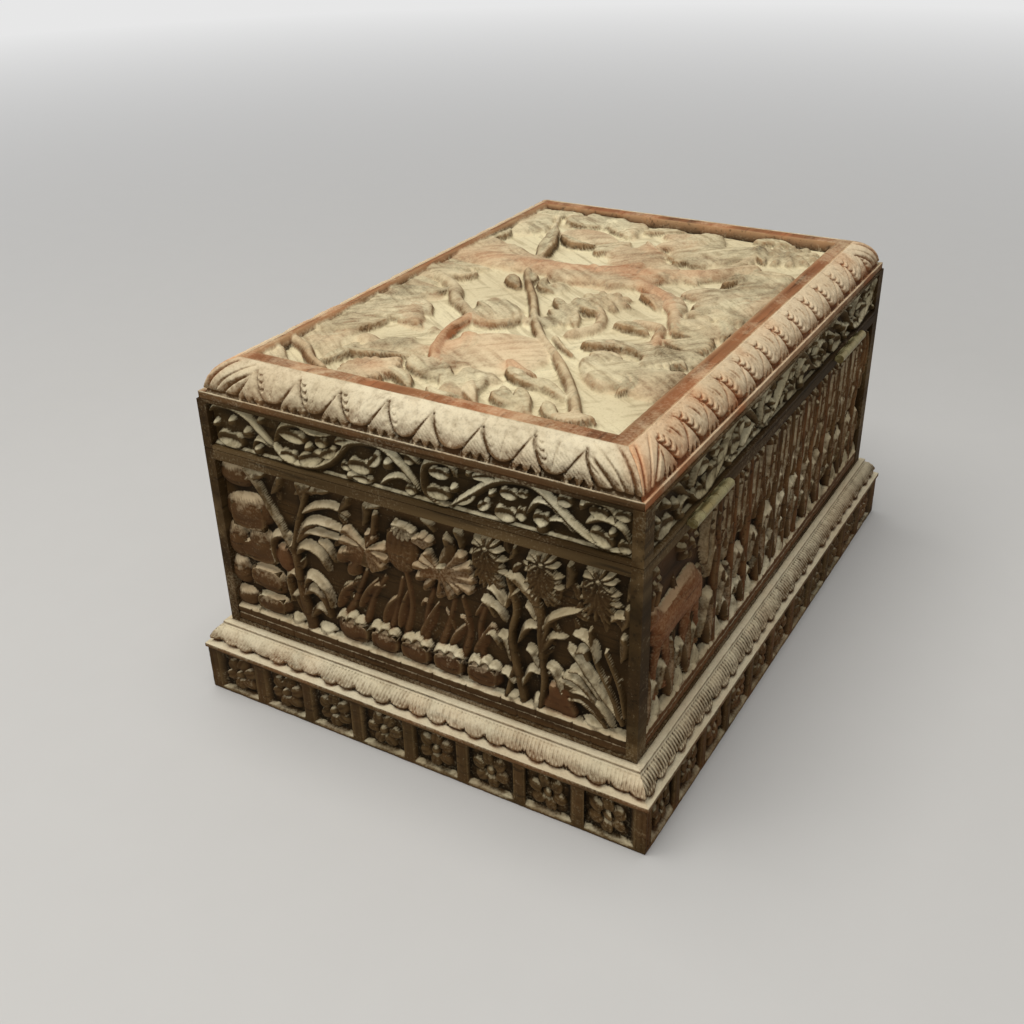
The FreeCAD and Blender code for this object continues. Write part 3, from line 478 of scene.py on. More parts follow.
# Materials
def linear(red, green, blue):
    # screen values of 0 to 255 as the shader counts them
    return tuple((value / 255 / 12.92 if value <= 10 else ((value / 255 + 0.055) / 1.055) ** 2.4)
                 for value in (red, green, blue)) + (1.0,)


class Shading:
    # a material's nodes, laid out as they are made
    def __init__(self, name):
        self.material = bpy.data.materials.new(name)
        self.material.use_nodes = True
        self.nodes, self.links = self.material.node_tree.nodes, self.material.node_tree.links
        self.shader = self.nodes["Principled BSDF"]
        self.place = self.node("ShaderNodeTexCoord").outputs["Object"]

    def node(self, kind, **values):
        made = self.nodes.new(kind)
        for key, value in values.items():
            setattr(made, key, value)
        return made

    def join(self, socket, source):
        if isinstance(source, bpy.types.NodeSocket):
            self.links.new(source, socket)
        else:
            socket.default_value = source

    def maths(self, operation, first, second=0.0, clamp=False):
        made = self.node("ShaderNodeMath", operation=operation, use_clamp=clamp)
        self.join(made.inputs[0], first)
        self.join(made.inputs[1], second)
        return made.outputs[0]

    def times(self, first, second, clamp=False):
        return self.maths("MULTIPLY", first, second, clamp)

    def plus(self, first, second, clamp=False):
        return self.maths("ADD", first, second, clamp)

    def minus(self, first, second, clamp=False):
        return self.maths("SUBTRACT", first, second, clamp)

    def mix(self, share, first, second):
        made = self.node("ShaderNodeMix", data_type="RGBA")
        self.join(made.inputs[0], share)
        self.join(made.inputs[6], first)
        self.join(made.inputs[7], second)
        return made.outputs[2]

    def noise(self, scale, stretch=(1, 1, 1), detail=3.0, rough=0.55, turn=(0, 0, 0)):
        mapping = self.node("ShaderNodeMapping", vector_type="TEXTURE")
        mapping.inputs["Scale"].default_value = [1 / size for size in stretch]
        mapping.inputs["Rotation"].default_value = turn
        self.links.new(self.place, mapping.inputs["Vector"])
        made = self.node("ShaderNodeTexNoise")
        made.inputs["Scale"].default_value = scale
        made.inputs["Detail"].default_value = detail
        made.inputs["Roughness"].default_value = rough
        self.links.new(mapping.outputs["Vector"], made.inputs["Vector"])
        return made.outputs["Fac"]

    def ramp(self, source, low, high):
        made = self.node("ShaderNodeMapRange")
        made.clamp = True
        self.join(made.inputs["Value"], source)
        made.inputs["From Min"].default_value = low
        made.inputs["From Max"].default_value = high
        return made.outputs["Result"]

    def blend(self, share, first, second):
        # first + share * (second - first)
        return self.plus(first, self.times(share, self.minus(second, first)))

    def bump(self, height, distance, strength=1.0, under=None):
        made = self.node("ShaderNodeBump")
        made.inputs["Strength"].default_value = strength
        made.inputs["Distance"].default_value = distance
        self.links.new(height, made.inputs["Height"])
        if under:
            self.links.new(under, made.inputs["Normal"])
        return made.outputs["Normal"]


# Colours of the wood under the dust, of its rubbed places, of the painted shade in hollows and of the dust
# that lies on it
woods = {
    "deep": (35, 26, 10), "open": (72, 54, 28), "red": (94, 60, 33), "rubbed": (130, 106, 70),
    "pore": (19, 13, 4), "hollow": (14, 9, 2), "dustLight": (230, 219, 184), "dustDark": (176, 162, 126),
    "dustSpeck": (138, 124, 92), "dustRed": (176, 142, 106),
    "grainScale": 55.0, "poreScale": 420.0, "strokeScale": 300.0, "strokeBump": 0.5, "strokeGrooveShade": 0.5,
    "gloss": 0.08, "roughness": 0.68, "plainFilm": 0.3,
}
dustyWoods = dict(woods, deep=(60, 45, 24), open=(106, 82, 51), red=(184, 116, 74), rubbed=(180, 146, 106),
                  dustLight=(224, 213, 182), dustDark=(204, 190, 157), dustSpeck=(156, 138, 104),
                  dustRed=(216, 174, 132), strokeBump=1.0, strokeGrooveShade=0.12)
# grain runs along one direction; fine knife strokes run in two ways on a face, turned about its direction
grainStretch = {"x": (0.06, 1, 1), "y": (1, 0.06, 1)}
strokeStretch = {"x": (1, 1, 0.07), "y": (1, 1, 0.07), "z": (1, 0.07, 1)}
strokeTurns = {"x": ((0.75, 0, 0), (-0.6, 0, 0)), "y": ((0, 0.75, 0), (0, -0.6, 0)),
               "z": ((0, 0, 0.75), (0, 0, -0.6))}


def carvedWood(name, along, face, colours=woods, looked=True):
    # dark wood with grain along one direction and knife strokes on the face; dust, rubbing, redness
    # and painted shade come from the look attribute
    shading = Shading(name)
    stretch = grainStretch[along]
    grain = shading.noise(colours["grainScale"], stretch, 4.0, 0.6)
    pores = shading.noise(colours["poreScale"], stretch, 2.0, 0.7)
    blotch = shading.noise(16.0, (1, 1, 1), 3.0)
    speck = shading.noise(900.0, (1, 1, 1), 2.0, 0.6)
    strokes = [shading.noise(colours["strokeScale"], strokeStretch[face], 2.0, 0.55, turn)
               for turn in strokeTurns[face]]
    region = shading.ramp(shading.noise(34.0, (1, 1, 1), 1.0), 0.44, 0.56)
    stroke = shading.blend(region, *strokes)
    if looked:
        look = shading.node("ShaderNodeAttribute", attribute_name="look")
        parts = shading.node("ShaderNodeSeparateColor")
        shading.links.new(look.outputs["Color"], parts.inputs["Color"])
        dust, wear, red = parts.outputs[0], parts.outputs[1], parts.outputs[2]
        shade = look.outputs["Alpha"]
        worked = shading.plus(shading.times(shading.ramp(dust, 0.02, 0.3), 0.7), 0.3)
    else:
        dust = shading.times(shading.ramp(blotch, 0.4, 0.75), colours["plainFilm"])
        wear = shading.ramp(shading.noise(30.0, stretch, 3.0), 0.58, 0.8)
        red = shading.times(shading.ramp(blotch, 0.35, 0.7), 0.4)
        shade, worked = 0.0, 0.12
    grained = shading.ramp(grain, 0.3, 0.7)
    darkRed = linear(*[value * 0.62 for value in colours["red"]])
    wood = shading.mix(grained, linear(*colours["deep"]), linear(*colours["open"]))
    wood = shading.mix(red, wood, shading.mix(grained, darkRed, linear(*colours["red"])))
    wood = shading.mix(shading.times(wear, 0.75), wood, linear(*colours["rubbed"]))
    wood = shading.mix(shading.times(shading.ramp(pores, 0.56, 0.7), 0.55), wood, linear(*colours["pore"]))
    # painted shade: the wood darkens towards the hollow colour by the look's shade share
    wood = shading.mix(shade, wood, linear(*colours["hollow"]))
    powder = shading.mix(shading.ramp(blotch, 0.32, 0.66), linear(*colours["dustDark"]),
                         linear(*colours["dustLight"]))
    powder = shading.mix(shading.times(shading.ramp(speck, 0.5, 0.75), 0.3), powder,
                         linear(*colours["dustSpeck"]))
    # painted shade: the dust darkens along the grooves of the knife strokes
    powder = shading.mix(shading.times(shading.ramp(stroke, 0.5, 0.38), colours["strokeGrooveShade"]),
                         powder, linear(*colours["dustSpeck"]))
    powder = shading.mix(shading.times(red, 0.9, clamp=True), powder, linear(*colours["dustRed"]))
    grit = shading.plus(shading.times(shading.minus(speck, 0.5), 0.7),
                        shading.times(shading.minus(grain, 0.5), 0.5))
    cutting = shading.times(shading.minus(stroke, 0.5), 0.6)
    grit = shading.plus(grit, shading.times(cutting, worked))
    cover = shading.ramp(shading.plus(dust, grit), 0.1, 0.85)
    colour = shading.mix(cover, wood, powder)
    shading.links.new(colour, shading.shader.inputs["Base Color"])
    dull = shading.minus(colours["roughness"], shading.times(wear, 0.1))
    dull = shading.plus(dull, shading.times(cover, 0.5), clamp=True)
    shading.links.new(shading.plus(dull, shading.times(pores, 0.12), clamp=True),
                      shading.shader.inputs["Roughness"])
    coarse = shading.bump(grain, 0.0005, 0.3)
    knifed = shading.bump(shading.times(stroke, worked), 0.0006, colours["strokeBump"], coarse)
    shading.links.new(shading.bump(shading.plus(pores, speck), 0.0002, 0.5, knifed),
                      shading.shader.inputs["Normal"])
    shading.shader.inputs["Specular IOR Level"].default_value = colours["gloss"]
    return shading.material


# Camera, floor and light; the camera stands where the photo's did, in metres and degrees
cameraSizes = {"place": (0.490083, 0.256695, 0.364103), "azimuth": 121.162, "elevation": 29.666,
               "roll": -1.478, "fieldOfView": 45.776}


def placed(right, up, back, spot):
    # the matrix of something that looks along -back from its spot
    place = Matrix.Identity(4)
    for row in range(3):
        place[row] = (right[row], up[row], back[row], spot[row])
    return place


def makeCamera(sizes):
    # it looks against "back", rolled about that direction
    azimuth, elevation, roll = (math.radians(sizes[key]) for key in ("azimuth", "elevation", "roll"))
    back = np.array((math.sin(azimuth) * math.cos(elevation), -math.cos(azimuth) * math.cos(elevation),
                     math.sin(elevation)))
    right = np.cross(-back, (0, 0, 1))
    right /= np.linalg.norm(right)
    up = np.cross(right, -back)
    right, up = (math.cos(roll) * right + math.sin(roll) * up,
                 math.cos(roll) * up - math.sin(roll) * right)
    data = bpy.data.cameras.new("camera")
    data.sensor_fit = "HORIZONTAL"
    data.lens_unit = "FOV"
    data.angle = math.radians(sizes["fieldOfView"])
    data.clip_start, data.clip_end = 0.01, 50
    camera = bpy.data.objects.new("camera", data)
    camera.matrix_world = placed(right, up, back, sizes["place"])
    bpy.context.scene.collection.objects.link(camera)
    bpy.context.scene.camera = camera


makeCamera(cameraSizes)

stageSizes = {
    "floorHalf": 7.0, "floorColour": (200, 198, 194), "floorSpeck": (178, 176, 172), "speckScale": 40.0,
    "speckShare": 0.12, "paleness": (0.8, 0.8, 0.8), "fadeFrom": 0.45, "fadeTo": 2.4,
    "skyColour": (0.95, 0.97, 1.0), "skyStrength": 0.34,
    "lampColour": (1.0, 0.985, 0.96), "lampTarget": (0, 0, 0.08),
    "lamps": {"lamp_above": {"place": (0.25, -0.15, 1.35), "size": 1.1, "power": 15.0},
              "lamp_side": {"place": (1.3, 0.2, 0.55), "size": 0.7, "power": 3.2}},
}


def lampAt(name, place, size, power):
    # a square soft lamp that faces the box
    data = bpy.data.lights.new(name, "AREA")
    data.size, data.energy, data.color = size, power, stageSizes["lampColour"]
    lamp = bpy.data.objects.new(name, data)
    back = np.array(place) - np.array(stageSizes["lampTarget"])
    back = back / np.linalg.norm(back)
    right = np.cross((0.02, 1, 0), back)
    right /= np.linalg.norm(right)
    lamp.matrix_world = placed(right, np.cross(back, right), back, place)
    bpy.context.scene.collection.objects.link(lamp)


def makeStage(sizes):
    half = sizes["floorHalf"]
    mesh = bpy.data.meshes.new("floor")
    mesh.from_pydata([(-half, -half, 0), (half, -half, 0), (half, half, 0), (-half, half, 0)], [],
                     [(0, 1, 2, 3)])
    floor = bpy.data.objects.new("floor", mesh)
    bpy.context.scene.collection.objects.link(floor)
    shading = Shading("floor_paper")
    speck = shading.times(shading.noise(sizes["speckScale"]), sizes["speckShare"])
    shading.join(shading.shader.inputs["Base Color"],
                 shading.mix(speck, linear(*sizes["floorColour"]), linear(*sizes["floorSpeck"])))
    shading.shader.inputs["Roughness"].default_value = 0.9
    # far from the box the floor fades into the pale background, for camera and gloss alone
    reach = shading.node("ShaderNodeVectorMath", operation="LENGTH")
    shading.join(reach.inputs[0], shading.place)
    path = shading.node("ShaderNodeLightPath")
    seen = shading.maths("MAXIMUM", path.outputs["Is Camera Ray"], path.outputs["Is Glossy Ray"])
    pale, fade = shading.node("ShaderNodeEmission"), shading.node("ShaderNodeMixShader")
    pale.inputs["Color"].default_value = (*sizes["paleness"], 1)
    far = shading.ramp(reach.outputs["Value"], sizes["fadeFrom"], sizes["fadeTo"])
    shading.join(fade.inputs[0], shading.times(seen, far))
    shading.links.new(shading.shader.outputs[0], fade.inputs[1])
    shading.links.new(pale.outputs[0], fade.inputs[2])
    shading.links.new(fade.outputs[0], shading.nodes["Material Output"].inputs["Surface"])
    mesh.materials.append(shading.material)


def makeWorld(sizes):
    # a plain sky that lights the box, and a pale background for what the camera and gloss see
    world = bpy.data.worlds.new("studio")
    bpy.context.scene.world = world
    world.use_nodes = True
    nodes, links = world.node_tree.nodes, world.node_tree.links
    nodes["Background"].inputs["Color"].default_value = (*sizes["skyColour"], 1)
    nodes["Background"].inputs["Strength"].default_value = sizes["skyStrength"]
    pale = nodes.new("ShaderNodeBackground")
    pale.inputs["Color"].default_value = (*sizes["paleness"], 1)
    path, both, blend = (nodes.new("ShaderNode" + kind) for kind in ("LightPath", "Math", "MixShader"))
    both.operation = "MAXIMUM"
    links.new(path.outputs["Is Camera Ray"], both.inputs[0])
    links.new(path.outputs["Is Glossy Ray"], both.inputs[1])
    links.new(both.outputs[0], blend.inputs[0])
    links.new(nodes["Background"].outputs[0], blend.inputs[1])
    links.new(pale.outputs[0], blend.inputs[2])
    links.new(blend.outputs[0], nodes["World Output"].inputs["Surface"])


makeStage(stageSizes)
makeWorld(stageSizes)
for lampName, lampSizes in stageSizes["lamps"].items():
    lampAt(lampName, **lampSizes)
bpy.context.scene.view_settings.view_transform = "Standard"
print("camera, floor and lamps placed")

# One wood for each way that the grain runs: carved and dark, under dust, and plain
woodAlong = {"front": carvedWood("carved_wood_long", "x", "y", dict(woods, red=(134, 82, 46))),
             "right_end": carvedWood("carved_wood_end", "y", "x")}
dustyAlong = {"front": carvedWood("dusty_wood_long", "x", "y", dustyWoods),
              "right_end": carvedWood("dusty_wood_end", "y", "x", dustyWoods)}
plainAlong = {"front": carvedWood("plain_wood_long", "x", "y", looked=False),
              "right_end": carvedWood("plain_wood_end", "y", "x", looked=False)}
for family in (woodAlong, dustyAlong, plainAlong):
    family["back"], family["left_end"] = family["front"], family["right_end"]
topWood = carvedWood("dusty_wood_top", "x", "z", dict(dustyWoods, strokeGrooveShade=0.4, dustLight=(226, 214, 176),
                                                      dustDark=(204, 189, 152), dustRed=(210, 176, 138)))


# Top panel: sizes in millimetres, then how dust, wear and redness settle on it
topSizes = {
    "halfLength": 135.8, "halfWidth": 91.8, "rim": 7.5, "ground": 162.65, "foot": 158.65, "depth": 6.0,
    "cell": 0.74, "edgeRound": 0.9, "rimReach": 87.6, "worn": 0.66,
    "rimTone": 0.62, "rimDust": -0.56, "outerDust": 0.9, "tintDust": -0.1,
}
topDust = {
    "cell": 0.74, "near": 2, "far": 5, "upLow": 0.24, "upHigh": 0.8, "onTop": 0.86, "hollowDustAndShade": 0.0,
    "raisedLoss": 0.32, "film": 0.09, "ridgeLoss": 0.2, "patches": 0.22, "rub": 0.8, "shade": 0.7,
    "redness": 0.02, "shadeFrom": 0.4, "shadeTo": 2.1,
}


def linesWithSteps(half, steps, cell):
    # grid lines at even spacing, with pairs of close lines at each step
    lines = np.arange(-half, half + cell / 2, 2 * half / round(2 * half / cell))
    lines[0], lines[-1] = -half, half
    extra = [sign * step + gap for step in steps for sign in (-1, 1) for gap in (-0.22, 0.22)]
    return np.unique(np.round(np.concatenate([lines, extra]), 3))


# Broad leafy shapes: height, direction of their folds, redness, and the outline
topMasses = (
    (3.6, 60, 0.45, ((-89, 100), (-77, 107), (-63, 113.5), (-61, 105), (-66, 95), (-65, 81), (-69.5, 77),
                     (-84, 86))),
    (4.0, 25, 0.42, ((-91, 87), (-73, 81), (-71, 68.5), (-68, 58.5), (-61, 62), (-46, 65), (-51, 55),
                     (-58, 43.5), (-65, 33.5), (-62, 23.5), (-68, 14), (-81, 11), (-90, 15))),
    (3.0, 70, 0.3, ((-62, 100), (-48, 94), (-26, 90), (-30, 80), (-40, 74), (-36, 62), (-45, 58), (-44, 72),
                    (-58, 84))),
    (4.2, 40, 0.3, ((-26, 96), (-22, 108), (-12, 113), (-3, 110), (-5, 99), (4, 93), (-8, 88), (-18, 90))),
    (4.0, 120, 0.35, ((-5, 97), (-3, 118), (8, 123), (15, 119), (12, 108), (18, 99), (10, 93))),
    (3.5, 75, 0.2, ((19, 112), (24, 119), (34, 122), (47, 123), (38, 115), (31, 113), (25, 104), (19, 102))),
    (3.9, 55, 0.36, ((47, 83.5), (55.5, 89.5), (64, 86), (82, 85), (82, 58), (62, 59), (45, 53), (33, 62),
                     (38, 72))),
    (4.2, 35, 0.3, ((31, 46), (44, 51), (60, 53), (70, 49), (82, 52), (83, 38), (60, 36), (56, 28), (48, 36),
                    (38, 38))),
    (4.0, 150, 0.4, ((-37, 38), (-27, 42), (-17, 36), (-15, 28), (-24, 16), (-36, 14), (-41, 24))),
    (3.6, 60, 0.25, ((-14, 33), (-2, 38), (8, 33), (12, 22), (4, 12), (-6, 10), (-4, 22))),
    (4.3, 20, 0.5, ((-93, -24), (-73, -25), (-54, -25.5), (-38, -28), (-22, -19), (-4, -22), (8, -20),
                    (20, -27), (33, -20), (45, -2), (56, 0), (48, -19), (33, -32), (23, -37), (35, -47),
                    (47, -55), (41, -68), (28, -60), (14, -51), (3, -55), (-12, -50), (-24, -45), (-44, -45),
                    (-51, -50), (-67, -60), (-93, -65))),
    (3.9, 80, 0.3, ((-93, -95), (-84, -87), (-72, -84), (-64, -88), (-67, -100), (-73, -112), (-77, -127),
                    (-93, -128))),
    (4.0, 65, 0.28, ((-64, -106), (-48, -108), (-32, -105), (-18, -100), (-17, -112), (-21, -125),
                     (-37, -129), (-51, -129), (-62, -127), (-70, -120))),
    (3.8, 45, 0.5, ((-24, -75), (-17, -65), (-4, -59), (8, -62), (13, -71), (12, -80), (2, -90), (-7, -96),
                    (-12, -86), (-17, -95), (-22, -88))),
    (3.7, 100, 0.32, ((12, -80), (20, -77), (29, -70), (43, -75), (49, -87), (56, -85), (53, -100),
                      (47, -117), (40, -112), (32, -110), (28, -122), (18, -128), (8, -121), (-6, -116),
                      (-5, -108), (5, -95))),
    (3.8, 50, 0.34, ((55, -6), (70, -4), (83, -7), (83, -70), (70, -75), (59, -81), (57, -70), (52, -62),
                     (58, -47), (47, -41), (43, -27), (52, -22))),
    (3.7, 130, 0.3, ((52, 0), (57, 16), (65, 20), (75, 21), (83, 11), (83, 0))),
    (3.7, 130, 0.3, ((-91, 10), (-80, 8), (-70, -2), (-66, -14), (-74, -21), (-93, -22))),
)


# Where the raised wood is rubbed to orange: place (Y, X), reach along both, strength
topTints = (
    (-34, -36, 22, 9, 0.5), (-2, -44, 20, 12, 0.8), (34, -22, 16, 20, 0.65), (36, -57, 10, 8, 0.5),
    (-26, 68, 9, 22, 0.9), (0, 70, 26, 18, 0.45), (-2, -89, 17, 22, 0.45), (-43, -96, 12, 8, 0.35),
    (-38, 114, 9, 8, 0.55), (14, 86, 5, 4, 0.8), (58, 30, 4, 8, 0.6), (-70, -33, 22, 8, 0.4),
)


def leaves(relief, rows):
    # a row is a leaf's middle line, width, height, teeth, lean, tone and dust
    for row in rows:
        leaf(relief, *row)


def layTop(relief):
    # points are (Y, X): across the box first, then along it
    for height, turn, tone, outline in topMasses:
        mass(relief, outline, height, turn, 0.4 * tone, dust=-0.04, edge=1.3, wander=0.6, hatch=0.45)
    # the great branch and its arms
    stem(relief, [(-92, -38), (-60, -36), (-30, -36), (-4, -41), (22, -50), (44, -62), (58, -78)], 13, 5.5,
         5.4, tone=0.34, strokes=2.2, dust=-0.06)
    stem(relief, [(-92, -55), (-66, -47), (-40, -43)], 9, 5, 4.2, tone=0.2, strokes=2.0)
    stem(relief, [(-10, -40), (14, -34), (34, -22), (46, -8), (52, 4), (58, 18)], 6.5, 3.0, 4.9, tone=0.42,
         strokes=1.6, dust=-0.08)
    stem(relief, [(-2, -45), (2, -52), (6, -58)], 7, 3, 5.2, tone=0.5, dust=-0.07)
    stem(relief, [(30, -54), (44, -68), (50, -84), (52, -100)], 5, 2.2, 4.2, tone=0.22, strokes=1.4)
    dome(relief, (-13, -42), (4.2, 4.0), 5.9, tone=0.25)
    dome(relief, (-13, -42), (2.0, 2.0), 5.2, tone=0.3)
    # the slender trunk that crosses the field
    stem(relief, [(-42, -26), (-34, -12), (-20, 8), (-4, 34), (10, 52), (24, 66), (36, 80), (48, 96),
                  (58, 112)],
         2.3, 2.8, 5.0, tone=0.1, dust=-0.05)
    stem(relief, [(14, 48), (22, 56), (30, 62)], 2.2, 1.2, 4.2, dust=-0.06)
    leaf(relief, [(-46, -16), (-40, -8), (-33, -2)], 9, 4.6, teeth=4, tone=0.05, dust=-0.12)
    leaf(relief, [(-38, -24), (-34, -16), (-31, -8)], 7, 4.2, teeth=4, dust=-0.09)
    # left arm with its hook, and the bow above it
    stem(relief, [(-92, -6), (-76, 2), (-62, 12), (-52, 26), (-42, 34), (-33, 42), (-22, 47), (-14, 42),
                  (-12, 33)],
         4.6, 2.6, 5.0, tone=0.14, strokes=1.3, dust=-0.04)
    dome(relief, (-26, 30), (12, 12), 3.9, turn=20, strokes=0.5, tone=0.1)
    leaf(relief, [(-40, 26), (-30, 30), (-22, 38)], 9, 5.0, teeth=5, lean=0.5)
    stem(relief, [(-33, 44), (-33, 60), (-29, 76), (-22, 90), (-14, 96)], 3.6, 3.0, 5.2, tone=0.62,
         strokes=0.7, dust=-0.11)
    dome(relief, (-14, 94), (9, 6), 5.4, turn=25, tone=0.3, strokes=0.4)
    leaf(relief, [(-30, 94), (-22, 104), (-10, 110)], 9, 5.0, teeth=5, lean=-0.4, dust=-0.06)
    leaf(relief, [(-12, 98), (-6, 106), (-4, 114)], 7, 4.8, teeth=4, dust=-0.06)
    # the broad hatched shape in the middle
    dome(relief, (-2, 74), (26, 24), 4.4, turn=-14, strokes=0.75, tone=0.22, sharp=0.3, dust=0.05)
    leaves(relief, (
        (((-24, 62), (-16, 70), (-12, 84)), 10, 4.9, 6, 0, 0.1),
        (((10, 82), (18, 88), (28, 88)), 7, 5.2, 4, 0, 0.5, -0.07),
        (((14, 90), (24, 95), (38, 100)), 8, 5.2, 5, 0, 0, -0.08),
        (((30, 92), (40, 98), (50, 104)), 7, 5.0, 5, 0, 0, -0.06)))
    # upper left: shell and long branch
    fan(relief, (-50, 112), 25, 120, 25, 9, 5.0, tone=0.25)
    fan(relief, (-34, 118), 190, 110, 17, 7, 5.3, tone=0.24)
    stem(relief, [(-92, 102), (-78, 108), (-68, 117), (-56, 124)], 3.4, 2.4, 5.2, tone=0.3, dust=-0.07)
    dome(relief, (-80, 92), (16, 15), 3.6, strokes=0.7, tone=0.12, sharp=0.35)
    leaf(relief, [(-62, 104), (-48, 100), (-28, 93)], 8, 4.6, teeth=6, lean=0.4, dust=-0.03)
    leaf(relief, [(-62, 118), (-60, 104), (-62, 90)], 8, 4.4, teeth=5, dust=-0.03)
    dome(relief, (-60, 86), (8, 5), 4.2, turn=20, strokes=0.5, tone=0.3)
    # left edge: leaf masses
    leaves(relief, (
        (((-88, 88), (-76, 76), (-66, 62)), 19, 4.6, 8, 0.6, 0.08),
        (((-90, 66), (-76, 58), (-62, 56), (-48, 62)), 14, 4.3, 8, 0, 0.05),
        (((-92, 44), (-78, 44), (-64, 40), (-52, 48)), 15, 4.4, 8, -0.4, 0.08),
        (((-92, 28), (-80, 26), (-68, 20), (-62, 12)), 13, 4.5, 6, 0.5),
        (((-92, 14), (-82, 10), (-72, 10)), 9, 3.8, 5),
        (((-92, -12), (-80, -8), (-68, -6), (-64, -14)), 15, 4.6, 6, 0.6, 0.1),
        (((-92, -22), (-78, -20), (-60, -22)), 9, 3.6, 6)))
    # flower in the middle, ring and small leaves
    blossom(relief, (12, -4), 14, 4.9, rings=((9, 0.72, 0.3), (6, 0.4, 0.27)), heart=0.22, tone=0.08,
            dust=-0.06)
    leaf(relief, [(2, 2), (8, 10), (20, 12)], 11, 5.4, teeth=5, lean=0.7, dust=-0.15)
    dome(relief, (-18, -12), (6.5, 8.5), 3.2, turn=-20, tone=0.05)
    dome(relief, (-18, -12), (3.2, 4.6), 4.4, turn=-20, tone=0.2)
    leaves(relief, (
        (((-28, -20), (-24, -8), (-14, -4)), 6, 4.6, 4, 0, 0, -0.06),
        (((-10, 4), (-2, 12), (4, 22)), 7, 4.4, 5, 0, 0, -0.03),
        (((-2, 10), (8, 20), (16, 32)), 8, 4.4, 6, 0, 0.1, -0.03),
        (((-6, 18), (4, 24), (10, 34)), 6, 4.2, 5)))
    # right arm with leaves
    stem(relief, [(18, 40), (24, 30), (22, 18), (16, 8)], 4.0, 2.6, 4.4, tone=0.3, dust=-0.05)
    leaf(relief, [(28, 50), (38, 46), (48, 44), (60, 50)], 12, 4.8, teeth=6, lean=0.6, dust=-0.07)
    leaf(relief, [(30, 22), (40, 22), (50, 26)], 8, 5.0, teeth=4, dust=-0.13)
    stem(relief, [(38, 16), (50, 16), (54, 28), (58, 38)], 3.4, 2.6, 4.6, tone=0.4, dust=-0.04)
    fan(relief, (54, 40), 35, 75, 27, 9, 5.0, tone=0.04)
    fan(relief, (56, 30), -2, 60, 25, 7, 4.6, tone=0.04)
    leaves(relief, (
        (((60, 40), (68, 48), (80, 54)), 9, 5.4, 5, 0, 0, -0.12),
        (((40, 70), (52, 66), (66, 64), (82, 62)), 18, 4.0, 10, 0.3),
        (((46, 78), (58, 80), (70, 84)), 10, 4.9, 6, 0, 0, -0.06),
        (((60, 72), (66, 80), (64, 90)), 8, 5.2, 4, 0, 0, -0.13),
        (((36, 58), (46, 56), (54, 62)), 8, 4.2, 5, 0, 0.12)))
    # berries and leaves down the right edge
    for y, x, size in ((60, 7, 5.5), (68, 9, 4.0), (64, -2, 4.6), (72, 2, 3.4), (57, -6, 4.4),
                       (66, -12, 4.4)):
        dome(relief, (y, x), (size, size), 4.8, tone=0.12, strokes=0.3)
    leaves(relief, (
        (((54, 12), (62, 18), (74, 20)), 9, 4.8, 6, 0, 0, -0.05),
        (((70, -4), (78, 6), (80, 18)), 8, 4.6, 5),
        (((54, -12), (60, -24), (56, -36)), 13, 4.8, 7, 0.5, 0.1),
        (((64, -18), (72, -28), (76, -42)), 12, 4.7, 7, -0.4),
        (((42, -26), (50, -36), (60, -44)), 10, 4.2, 6),
        (((54, -48), (58, -58), (54, -68)), 9, 5.2, 5, 0.5, 0, -0.11),
        (((62, -46), (70, -56), (72, -70)), 13, 4.6, 7, 0, 0.08),
        (((60, -68), (70, -72), (82, -76)), 11, 4.6, 6, 0, 0.16),
        (((24, -20), (34, -14), (40, -4)), 9, 4.4, 5, 0.5, 0, -0.07),
        (((24, -58), (34, -52), (42, -46)), 10, 4.2, 6, 0, 0.1)))
    # lower left: long spindle, domes and their stem
    leaf(relief, [(-46, -46), (-52, -62), (-60, -84), (-68, -104)], 11, 5.2, teeth=3, lean=0.8, dust=-0.06)
    stem(relief, [(-62, -86), (-70, -108), (-78, -128)], 1.6, 1.2, 4.2, tone=0.1, dust=0.12)
    dome(relief, (-42, -92), (19, 13), 4.5, turn=12, strokes=0.45, tone=0.3, sharp=0.42)
    leaf(relief, [(-54, -84), (-40, -76), (-26, -78)], 9, 5.2, teeth=5, lean=0.6, dust=-0.09)
    dome(relief, (-82, -96), (11, 17), 4.2, turn=-10, strokes=0.4, tone=0.12)
    leaves(relief, (
        (((-88, -62), (-86, -76), (-90, -88)), 9, 4.4, 5, 0, 0, -0.06),
        (((-66, -112), (-50, -110), (-38, -116)), 9, 4.4, 6),
        (((-44, -122), (-34, -112), (-20, -100)), 11, 4.8, 8, -0.4),
        (((-88, -116), (-76, -122), (-62, -128)), 12, 4.4, 6),
        (((-60, -126), (-44, -128), (-30, -122)), 10, 4.2, 6, 0, 0, -0.06)))
